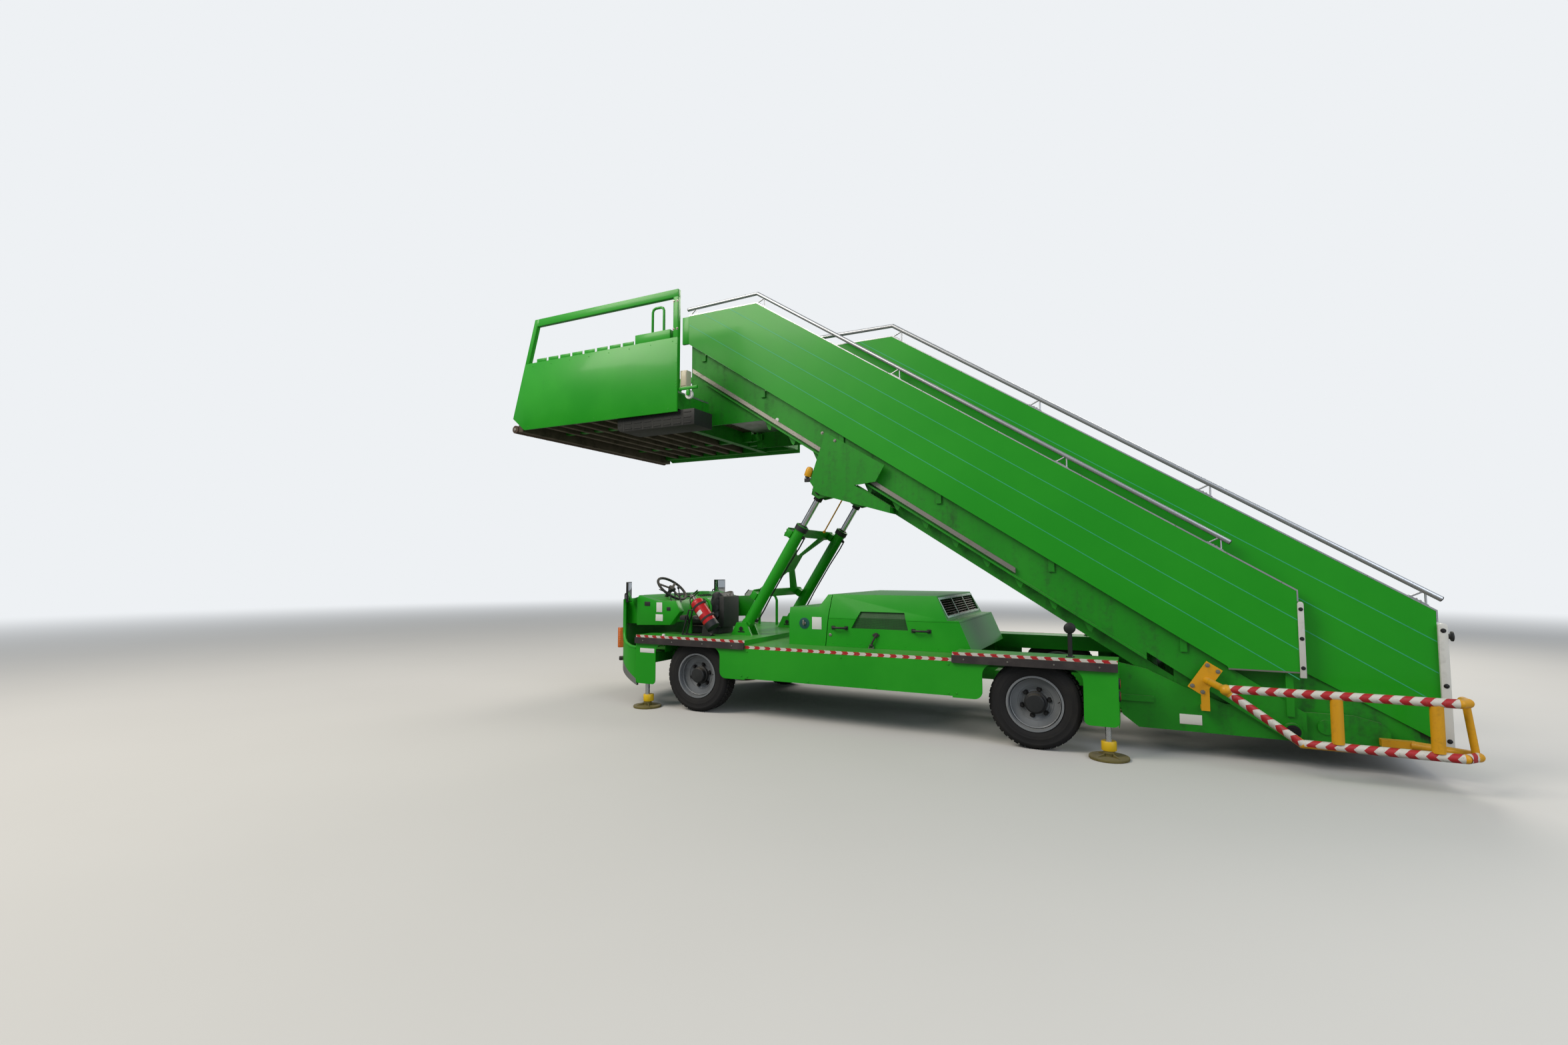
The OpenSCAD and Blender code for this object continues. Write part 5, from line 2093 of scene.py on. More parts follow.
@dataclass
class Platform(Assembly):
    """Ribs, bumper bands, rollers, switch box and screws of the platform."""

    home: ClassVar[str] = "platform"
    half: float = 1.49
    floor: float = 3.40
    front: float = -4.37
    back: float = -2.374
    thick: float = 0.018

    def planks(self) -> None:
        """Builds the ribs on the floor and the plank ribs under it."""
        f, inner = self.finishes, self.half - 0.024
        rib = Shape().box((-0.0045, -inner, 0.0002), (0.0045, inner, 0.0030))
        count = int((self.back - self.front) / 0.030)
        made = self.shop.row(
            "platform_floor_ribs", rib, f.aluminium, count, (self.front + 0.02, 0.0, self.floor), (0.030, 0.0, 0.0)
        )
        self.add(made)
        wings = Shape().box((-0.0045, 0.868, 0.0002), (0.0045, inner, 0.0030)).box(
            (-0.0045, -inner, 0.0002), (0.0045, -0.868, 0.0030)
        )
        made = self.shop.row(
            "platform_wing_ribs", wings, f.aluminium, 10, (-2.362, 0.0, self.floor), (0.030, 0.0, 0.0)
        )
        self.add(made)
        under = Shape().box((-0.008, -inner, -0.012), (0.008, inner, -0.0002))
        made = self.shop.row(
            "platform_under_ribs", under, f.weathered, int(count * 0.75),
            (self.front + 0.03, 0.0, self.floor - self.thick), (0.040, 0.0, 0.0)
        )
        self.add(made)

    def bumper(self) -> None:
        """Builds the clamp bands and end caps of the rubber roll."""
        f, z, x = self.finishes, self.floor - 0.203, -4.4198
        ends = Shape().lathe(
            [(0.0, 0.0), (0.020, 0.0), (0.018, 0.006), (0.0, 0.007)],
            turned((x, -(self.half - 0.0102), z), REAR, LEFT), 20
        )
        self.pair(ends, "bumper_end_bolts", f.steel)
        band = Shape().lathe(
            [(0.0477, -0.008), (0.0490, -0.006), (0.0490, 0.006), (0.0477, 0.008)], turned((0, 0, 0), REAR, RIGHT),
            32, ring=True
        )
        made = self.shop.row("bumper_grooves", band, f.bumper, 9, (x, -1.28, z), (0.0, 0.32, 0.0))
        self.add(made)

    def fittings(self) -> None:
        """Builds the white rollers, the beige box, rivets, bolts and tray ribs."""
        f = self.finishes
        y = -(self.half - 0.045)
        roller = Shape().lathe(
            [(0.0, -0.013), (0.045, -0.013), (0.048, -0.009), (0.048, 0.009), (0.045, 0.013), (0.0, 0.013)],
            turned((-1.93, y + 0.0145, self.floor - 0.050), REAR, LEFT), 32
        )
        self.pair(roller, "platform_rollers", f.plate)
        box = Shape().box(
            (-2.030, y - 0.010, self.floor + 0.0300), (-1.950, y + 0.075, self.floor + 0.210)
        ).box((-2.024, y - 0.015, self.floor + 0.045), (-1.956, y - 0.010, self.floor + 0.195))
        self.put(box, "platform_switch_box", f.beige, soft=0.003)
        side = -self.half
        spots = [Spot((-2.062, side, z), LEFT) for z in (3.44, 3.47, 3.50, 3.70, 3.90)]
        spots += [Spot((x, side, 3.93), LEFT) for x in [-4.14 + 0.29 * i for i in range(8)]]
        spots += [Spot((x, side, 3.21), LEFT) for x in [-4.20 + 0.34 * i for i in range(7)]]
        self.add(self.shop.rivets("platform_side_rivets", both_sides(spots), f.green, 0.0065))
        spots = [Spot((x, side + 0.001, z), LEFT) for x in (-2.098, -2.052) for z in (4.06, 4.36)]
        self.add(self.shop.bolts("platform_post_bolts", both_sides(spots), 0.009, 0.006))
        rib = Shape().box((-0.006, -self.half + 0.049, 3.032), (0.006, -self.half + 0.0495, 3.196))
        for z in (3.06, 3.115, 3.17):
            rib.box((0.016, -self.half + 0.046, z - 0.005), (0.108, -self.half + 0.0498, z + 0.005))
        made = self.shop.row("tray_ribs", rib, f.dark, 7, (-2.79, 0.0, 0.0), (0.130, 0.0, 0.0))
        self.add(made)
        spots = [Spot((-2.30, -0.7842, 3.30), LEFT)]
        self.add(self.shop.bolts("level_pin_bolts", both_sides(spots), 0.016, 0.012, f.black_bolt))

    def build(self) -> None:
        """Builds the platform's parts."""
        self.planks()
        self.bumper()
        self.fittings()


@dataclass
class CabShell(Assembly):
    """Sheet metal of the driver's place, in the photographed forms.

    Attributes:
        corner: Y of the front wall's corner centres.
        bend: Outer radius of those corners.
        deck: Height of the fender decks.
        half: Half width of the machine.
    """

    corner: float = 0.63
    bend: float = 0.50
    deck: float = 0.79
    half: float = 1.15

    def _plan(self, radius: float, back: float = -2.70) -> list[Point]:
        """Returns the wall's outline in plan at a radius round its corners, ending at back."""
        x0 = -2.78
        turns = [math.radians(180 + 7.5 * i) for i in range(13)]
        left = [(x0 + radius * math.cos(a), -self.corner + radius * math.sin(a)) for a in turns]
        right = [(x, -y) for x, y in reversed(left)]
        return [(back, -self.corner - radius)] + left[::-1] + right[::-1] + [(back, self.corner + radius)]

    def wall(self) -> None:
        """Builds the curved front wall with its swept lower corner and edge tube."""
        f, outer, inner = self.finishes, self._plan(self.bend), self._plan(self.bend - 0.03)
        brow = [
            (-3.15, 1.168), (-3.15, 0.85), (-3.14, 0.77), (-3.10, 0.715), (-3.03, 0.675), (-2.93, 0.650),
            (-2.83, 0.642)
        ]
        wall = Shape().prism(outer + inner[::-1], 0.92, Matrix.Translation((0, 0, 0.23)))
        wall.carve(Shape().box((-2.8153, -1.3, 0.1), (-2.4, 1.3, 1.3)))
        wall.carve(Shape().plate([(-3.5, 0.5127), (-2.815, 0.23), (-2.78, 0.15), (-3.5, 0.15)], -1.3, 1.3))
        wall.carve(Shape().plate([(-3.15, 1.3), *brow[1:], (-2.74, 0.642), (-2.74, 1.3)], -1.3, 1.3))
        rim = Shape()
        cap = [p for p in self._plan(self.bend + 0.002) if p[0] < -3.15]
        low = [p for p in self._plan(self.bend - 0.032) if p[0] < -3.15]
        rim.prism(cap + low[::-1], 0.028, Matrix.Translation((0, 0, 1.142)))
        wall.join(rim)
        tube = Shape()
        middle = self.bend - 0.015
        tube.tube([(x, -self.corner - math.sqrt(middle ** 2 - (x + 2.78) ** 2), z) for x, z in brow], 0.02, 12)
        wall.join(tube.mirrored())
        self.put(wall, "front_wall_shell", f.wall, "front_wall")
        sole = Shape().prism(self._plan(self.bend - 0.0305), 0.006, Matrix.Translation((0, 0, 0.6002)))
        sole.carve(Shape().box((-2.9999, -2.0, 0.5), (-2.0, 2.0, 0.7)))
        self.put(sole, "front_floor_plate", f.green)

    def console_box(self) -> None:
        """Builds the console's sloping boxes and side cheeks."""
        box = Shape().plate(
            [(-3.30, 0.88), (-3.30, 1.12), (-2.94, 1.222), (-2.66, 1.157), (-2.622, 1.05), (-2.622, 0.90)], -0.86,
            0.79
        )
        box.carve(Shape().prism(self._plan(self.bend - 0.0305, -2.0), 2.0, Matrix.Identity(4)), "INTERSECT")
        box.plate(
            [
                (-2.97, 0.878), (-2.97, 1.176), (-2.94, 1.222), (-2.66, 1.157), (-2.43, 1.168), (-2.37, 1.046),
                (-2.50, 0.894)
            ],
            -0.95, -0.858
        )
        box.plate(
            [(-2.80, 0.878), (-2.80, 1.19), (-2.66, 1.157), (-2.43, 1.168), (-2.37, 1.046), (-2.50, 0.894)], 0.788,
            0.808
        )
        box.box((-2.90, 0.12, 1.10), (-2.79, 0.30, 1.235))
        self.put(box, "console_shell", self.finishes.green, "dashboard", soft=0.004)

    def mirrors(self) -> None:
        """Builds the mirror bodies on their bent stalks."""
        turn = Matrix.Translation((-3.065, -0.98, 0.0)) @ Matrix.Rotation(math.radians(25), 4, "Z")
        body = Shape().tube(
            [(-3.155, -0.938, 1.16), (-3.155, -0.938, 1.222), (-3.146, -0.942, 1.235), (-3.068, -0.978, 1.235)],
            0.0085, 10
        )
        body.box((-0.012, -0.085, 1.142), (0.012, 0.085, 1.372), turn)
        self.pair(body, "mirror_bodies", self.finishes.dark, "mirrors", soft=0.005)
        glass = Shape().box((0.0124, -0.077, 1.150), (0.0137, 0.077, 1.364), turn)
        self.pair(glass, "mirror_glass", self.finishes.mirror, soft=0.0005)

    def bottle(self) -> None:
        """Builds the leaning extinguisher and its stand."""
        f, y, d = self.finishes, 0.25 - self.half, self.deck
        a = math.radians(39.35)
        place = turned((-1.952, y, d + 0.094), (math.cos(a), 0, math.sin(a)), (-math.sin(a), 0, math.cos(a)))
        profile = [
            (0.0, 0.0), (0.070, 0.0), (0.075, 0.006), (0.075, 0.338), (0.070, 0.356), (0.055, 0.370), (0.030, 0.380),
            (0.0, 0.382)
        ]
        self.put(Shape().lathe(profile, place, 36), "extinguisher_bottle", f.bottle, "extinguisher")
        stand = Shape()
        for s in (-0.045, 0.033):
            stand.box((-2.345, y + s, d + 0.0003), (-1.96, y + s + 0.012, d + 0.012))
            stand.plate(
                [(-2.345, d + 0.002), (-2.333, d + 0.002), (-2.246, d + 0.284), (-2.258, d + 0.284)], y + s,
                y + s + 0.012
            )
        stand.box((-2.3445, y - 0.033, d + 0.0005), (-2.333, y + 0.033, d + 0.0118))
        stand.box((-2.258, y - 0.045, d + 0.272), (-2.146, y + 0.045, d + 0.284))
        stand.plate(
            [(-2.08, d + 0.002), (-1.99, d + 0.002), (-1.96, d + 0.06), (-2.06, d + 0.13)], y - 0.045, y + 0.045
        )
        stand.carve(Shape().lathe([(0.0, -0.06), (0.0753, -0.06), (0.0753, 0.4), (0.0, 0.4)], place, 36))
        self.put(stand, "extinguisher_stand", f.dark, soft=0.001)

    def lamps(self) -> None:
        """Builds work lamps on their posts, marker lamps and bump stops."""
        f, x, y, d = self.finishes, 1.684, -(self.half - 0.1), self.deck + 0.0003
        at = Matrix.Translation((x, y, d))
        lamp = Shape().lathe(
            [
                (0.0, 0.0), (0.035, 0.0), (0.035, 0.008), (0.019, 0.008), (0.019, 0.193), (0.013, 0.195),
                (0.013, 0.21), (0.0, 0.21)
            ],
            at, 24
        )
        lamp.lathe(
            [(0.0, -0.034), (0.030, -0.032), (0.044, -0.022), (0.044, 0.032), (0.038, 0.032), (0.0, 0.031)],
            turned((x, y, d + 0.24), REAR, RIGHT), 28
        )
        self.pair(lamp, "work_lamp_bodies", f.dark, "lamps")
        amber = Shape().box(
            (0.0, -0.036, 0.614), (0.040, 0.036, 0.836),
            Matrix.Translation((-3.219, -0.926, 0.0)) @ Matrix.Rotation(math.radians(34), 4, "Z")
        )
        amber.lathe(
            [(0.0, 0.0), (0.033, 0.0), (0.035, 0.004), (0.035, 0.226), (0.033, 0.23), (0.0, 0.23)],
            Matrix.Translation((-3.219, -0.926, 0.61)), 24
        )
        self.pair(amber, "marker_lamps", f.amber)
        stop = Shape().lathe(
            [(0.0, -0.004), (0.025, -0.004), (0.025, 0.036), (0.018, 0.0445), (0.0, 0.0445)],
            turned((-3.174, -0.938, 0.487), UP, (-0.788, -0.616, 0)), 20
        )
        self.pair(stop, "bump_stops", f.rubber)

    def rails(self) -> None:
        """Builds the bent rails beside the seat."""
        y, d = self.half - 0.35, self.deck
        path = [
            (-2.32, -y, d + 0.0003), (-2.32, -y, d + 0.32), (-2.298, -y, d + 0.373), (-2.245, -y, d + 0.402),
            (-2.135, -y, d + 0.402), (-2.082, -y, d + 0.373), (-2.06, -y, d + 0.32), (-2.06, -y, d + 0.0003)
        ]
        self.pair(Shape().tube(path, 0.0175, 12), "seat_rails", self.finishes.green, "cab_rails")

    def skirts(self) -> None:
        """Builds the fenders' side plates with their rounded arches and corners."""
        y0, y1, zb, yw = self.half - 0.006, self.half, self.deck - 0.088, self.half - 0.28
        side = Shape()

        def flap(x0: float, x1: float, z0: float, front: float, back: float) -> None:
            """Adds a plate with rounded lower corners."""
            arc = [
                (x0 + front - front * math.cos(t), z0 + front - front * math.sin(t))
                for t in (FINE_TURN * i for i in range(7))
            ] if front else [(x0, z0)]
            end = [
                (x1 - back + back * math.sin(t), z0 + back - back * math.cos(t))
                for t in (FINE_TURN * i for i in range(7))
            ] if back else [(x1, z0)]
            side.plate([(x0, zb), *arc, *end, (x1, zb)], -y1, -y0)

        def fillet(x: float, s: float) -> None:
            """Adds the rounded upper corner of a wheel arch."""
            r = 0.095
            arc = [
                (x + s * (r - r * math.cos(t)), zb - r + r * math.sin(t)) for t in (FINE_TURN * i for i in range(7))
            ]
            side.plate([(x, zb), *arc], -y1, -y0)

        flap(-2.815, -2.545, 0.26, 0.045, 0.045)
        flap(-1.715, -1.415, 0.392, 0.07, 0.0)
        side.box((-1.415, -y1, 0.405), (0.715, -y0, 0.74))
        flap(0.715, 0.975, 0.392, 0.0, 0.07)
        flap(1.785, 2.045, 0.26, 0.045, 0.045)
        for x, s in ((-2.545, 1), (-1.715, -1), (0.975, 1), (1.785, -1)):
            fillet(x, s)
        for x0, x1 in ((-2.815, -1.415), (0.715, 2.045)):
            side.box((x0, -y1, zb), (x1, -y0, self.deck))
        side.box((-2.815, -y0, 0.26), (-2.8093, -0.95, self.deck)).box((-1.421, -y0, 0.392), (-1.415, -yw, 0.733))
        side.box((0.715, -y0, 0.40), (0.721, -yw, 0.74)).box((2.039, -y0, 0.26), (2.045, -yw, self.deck)).box(
            (0.715, -yw, 0.64), (2.045, -yw + 0.006, self.deck)
        )
        self.pair(side, "fender_plates", self.finishes.green, "skirts")

    def housing(self) -> None:
        """Builds the engine housing with leaning sides: a fixed lower part and the opening lid."""
        f, mid, half, split = self.finishes, 0.74, 0.80, 1.0215

        def shell(outline: Line, t: float) -> Shape:
            """Returns the housing's form inside an outline in side view, t inside its skin."""
            body = Shape().plate(outline, -1.0, 1.0)
            section = [
                (t - half, mid - 0.05), (t - half, mid + 0.295 - t / 8), (t - half + 0.065, mid + 0.525 - t),
                (half - 0.065 - t, mid + 0.525 - t), (half - t, mid + 0.295 - t / 8), (half - t, mid - 0.05)
            ]
            keep = Shape().prism(section, 3.0, across(-1.6))
            return body.carve(keep, "INTERSECT")

        front = shell(
            [
                (-1.075, mid + 0.0003), (-1.075, mid + 0.385), (-0.745, mid + 0.395), (-0.656, mid + 0.521),
                (-0.612, mid + 0.521), (-0.664, mid + 0.0003)
            ],
            0.0
        )
        rear = shell(
            [
                (-0.655, mid + 0.001), (-0.604, mid + 0.525), (0.475, mid + 0.525), (0.590, mid + 0.295),
                (0.700, mid + 0.295), (0.825, mid + 0.001)
            ],
            0.0
        )
        rear.carve(
            shell(
                [
                    (-0.635, mid - 0.02), (-0.586, mid + 0.506), (0.463, mid + 0.506), (0.578, mid + 0.275),
                    (0.688, mid + 0.275), (0.807, mid - 0.02)
                ],
                0.02
            )
        )
        rear.carve(Shape().plate([(-0.38, 0.93), (-0.285, 1.098), (0.168, 1.098), (0.21, 0.93)], -1.0, 1.0))
        a = GRILLE_SLOPE
        place = turned((0.475, 0.0, mid + 0.525), (math.sin(a), 0, -math.cos(a)), (math.cos(a), 0, math.sin(a)))
        rear.carve(Shape().box((0.04, -0.705, -0.06), (0.215, 0.705, 0.06), place))
        lid = rear.copy().carve(Shape().box((-2.0, -2.0, 0.0), (2.0, 2.0, split)))
        rear.carve(Shape().box((-2.0, -2.0, split - 0.002), (2.0, 2.0, 2.0)))
        self.put(front.join(rear), "engine_housing_shell", f.green, "engine_cover")
        self.put(lid, "hood_shell", f.green, "hood_lid", body="hood")

    def build(self) -> None:
        """Builds every shell of the chassis."""
        self.wall()
        self.console_box()
        self.mirrors()
        self.bottle()
        self.lamps()
        self.rails()
        self.skirts()
        self.housing()


@dataclass
class FlightShell(Assembly):
    """Trims, rails with brackets, posts and stringers of one flight."""

    name: str
    half: float
    inner: float
    edge: Callable[[float], float]
    head: float
    knee: float
    end: float
    post: tuple[float, float, float, float]
    rail: float
    rail_points: tuple[tuple[float, float], ...]
    brackets: tuple[float, ...]

    def trims(self) -> None:
        """Builds the metal edge along the panel and the seams between its planks."""
        f, body, e = self.finishes, f"{self.name}_flight", self.edge
        y0, y1, x2 = -(self.half + 0.0013), -self.inner + 0.001, self.end
        low = e(self.post[0] + 0.02) - 0.07
        trim = Shape()
        trim.plate(
            [
                (self.head, e(self.head) + 0.0003), (self.head, e(self.head) + 0.01),
                (self.knee, e(self.knee) + 0.01), (x2 + 0.0103, e(x2) + 0.004), (x2 + 0.0103, low),
                (x2 + 0.0003, low), (x2 + 0.0003, e(x2) - 0.003), (self.knee, e(self.knee) + 0.0003)
            ],
            y0, y1
        )
        self.pair(trim, f"{self.name}_edge_trims", f.rail, body=body)
        seams = Shape()
        for i in (1, 2, 3):
            low = upper_line(0.0) + (0.41 if self.name == "lower" else 0.0) + 0.1065
            high = e(2.0) + 2.0 * RISE_PER_RUN
            line = low + (high - low) * i / 4
            x1 = max(self.head + 0.004, (line - e(self.head) + 0.004) / RISE_PER_RUN)
            z1, z2 = line - RISE_PER_RUN * x1, line - RISE_PER_RUN * (x2 - 0.004)
            for y in (-self.half - 0.0006, -self.inner + 0.0001):
                seams.plate(
                    [(x1, z1 - 0.0038), (x2 - 0.004, z2 - 0.0038), (x2 - 0.004, z2 + 0.0038), (x1, z1 + 0.0038)], y,
                    y + 0.0005
                )
        self.pair(seams, f"{self.name}_plank_seams", f.seam, body=body)

    def handrail(self) -> None:
        """Builds the rail tube and its three-legged brackets."""
        y, e, shape = -self.rail, self.edge, Shape()
        shape.tube([(x, y, z) for x, z in self.rail_points], 0.02, 16)
        for x in self.brackets:
            z0, z1 = e(x - 0.096), e(x + 0.014)
            top = e(x) + (0.084 if x < -2.0 else 0.108)
            shape.plate(
                [
                    (x - 0.096, z0 + 0.0103), (x - 0.096, z0 + 0.017), (x + 0.014, z1 + 0.017),
                    (x + 0.014, z1 + 0.0103)
                ],
                y - 0.011, y + 0.011
            )
            shape.tube([(x, y, z1 + (z0 - z1) * 14 / 110 + 0.0156), (x, y, top)], 0.007, 10)
            shape.tube([(x - 0.082, y, z1 + (z0 - z1) * 96 / 110 + 0.017), (x - 0.004, y, top)], 0.007, 10)
        made = shape.mirrored().piece(f"{self.name}_handrails", self.finishes.rail)
        self.add(made, f"{self.name}_rails", body=f"{self.name}_flight")

    def posts(self) -> None:
        """Builds the white end posts with their round tops."""
        x0, x1, low, high = self.post
        y0, y1 = self.inner, self.half + (0.025 if self.name == "lower" else 0.008)
        r = (x1 - x0) / 2
        outline = [(x1, low), (x0, low)] + [
            (x0 + r - r * math.cos(t), high + r * math.sin(t)) for t in (FINE_TURN * i for i in range(13))
        ]
        made = Shape().plate(outline, -y1, -y0).mirrored().piece(f"{self.name}_end_posts", self.finishes.white, 0.002)
        self.add(made, f"{self.name}_posts", body=f"{self.name}_flight")

    def stringers(self) -> None:
        """Builds the upper flight's stringers with flanges, lugs, posts and wear strips."""
        f, y0, y1 = self.finishes, -(self.half - 0.048), -(self.half - 0.06)

        def u(x: float, d: float) -> Point:
            """Returns a point at a height over the nosing line."""
            return (x, upper_line(x) + d)

        web = Shape()
        x0 = self.head + 0.014
        web.plate(
            [
                (x0, 3.15), u(x0, 0.098), u(3.325, 0.098), u(3.325, -0.1), u(3.255, -0.19), u(2.255, -0.19),
                u(2.255, -0.25), (-1.40, 3.15)
            ],
            y0, y1
        )
        web.plate(
            [u(-2.15, -0.25), u(-2.15, -0.23), u(2.255, -0.23), u(2.255, -0.25)], -(self.half - 0.008), y0 + 0.001
        )
        for i in range(13):
            x = -1.62 + 0.2865 * i
            web.plate(
                [u(x - 0.048, -0.249), u(x + 0.04, -0.249), u(x + 0.018, -0.315), u(x - 0.004, -0.315)], y0 + 0.0003,
                y1 - 0.0003
            )
        for x in (-2.2, -1.42, -0.5, 0.5, 1.5, 2.5, 3.2):
            web.box(
                (x, -(self.half - 0.0303), upper_line(x + 0.05) + 0.02), (x + 0.05, y0, self.edge(x + 0.05) - 0.03)
            )
        web.lathe([(0.0, 0.0), (0.062, 0.0), (0.062, 0.048), (0.0, 0.048)], turned((3.23, y0, 0.29), REAR, LEFT), 32)
        self.pair(web, "upper_stringer_shell", f.grimy, "upper_stringers", body="upper_flight")
        strip = Shape().plate(
            [u(-2.315, -0.208), u(-2.315, -0.16), u(1.22, -0.16), u(1.22, -0.208)], -(self.half - 0.012), y0 - 0.0003
        )
        strip.box((2.827, -(self.half + 0.0015), 0.733), (3.2897, -(self.half - 0.03), 0.7447))
        self.pair(strip, "upper_wear_strips", f.steel, body="upper_flight", slot="aluminium")
        front = Shape().box(
            (self.head - 0.090, -self.half, upper_line(self.head) + 0.108),
            (self.head - 0.0003, -(self.half - 0.03), self.edge(self.head) - 0.004)
        )
        self.pair(front, "panel_front_strips", f.green, body="upper_flight", soft=0.002)

    def build(self) -> None:
        """Builds the flight's shells."""
        self.trims()
        self.handrail()
        self.posts()
        if self.name == "upper":
            self.stringers()


@dataclass
class LiftShell(Assembly):
    """Gland nuts, clamp lugs and the cross-shaped brace of the barrels."""

    home: ClassVar[str] = "barrels"
    out: float = 0.565

    def build(self) -> None:
        """Builds lugs, glands and brace."""
        f = self.finishes
        place = Lift(self.kit)._place()
        lugs = Shape()
        for z in (0.34, 1.15):
            lugs.box((-0.115, -0.048, z), (-0.055, 0.048, z + 0.085), place)
        lugs.lathe(
            [
                (0.0632, 1.27), (0.071, 1.272), (0.071, 1.338), (0.060, 1.3402), (0.0332, 1.3402), (0.0332, 1.337),
                (0.0632, 1.337)
            ],
            place, 36, ring=True
        )
        self.pair(lugs, "barrel_lugs", f.green, soft=0.003)
        w, y = self.out + 0.044, self.out
        plate = Shape().prism(
            [
                (-w, 0.33), (-w, 0.435), (0.09 - y, 0.445), (-0.13, 0.70), (-0.13, 0.90), (0.09 - y, 1.13),
                (-w, 1.14), (-w, 1.245), (w, 1.245), (w, 1.14), (y - 0.09, 1.13), (0.13, 0.90), (0.13, 0.70),
                (y - 0.09, 0.445), (w, 0.435), (w, 0.33)
            ],
            0.012, across(-0.1273))
        plate.carve(Shape().prism([(-0.30, 0.435), (-0.03, 0.665), (0.03, 0.665), (0.30, 0.435)], 0.1, across(-0.17)))
        plate.carve(Shape().prism([(-0.30, 1.14), (-0.03, 0.90), (0.03, 0.90), (0.30, 1.14)], 0.1, across(-0.17)))
        move = place.copy()
        move.translation.y = 0.0
        bmesh.ops.transform(plate.bm, matrix=move, verts=plate.bm.verts)
        self.put(plate, "lift_brace", f.green, "barrel_brace", soft=0.0015)


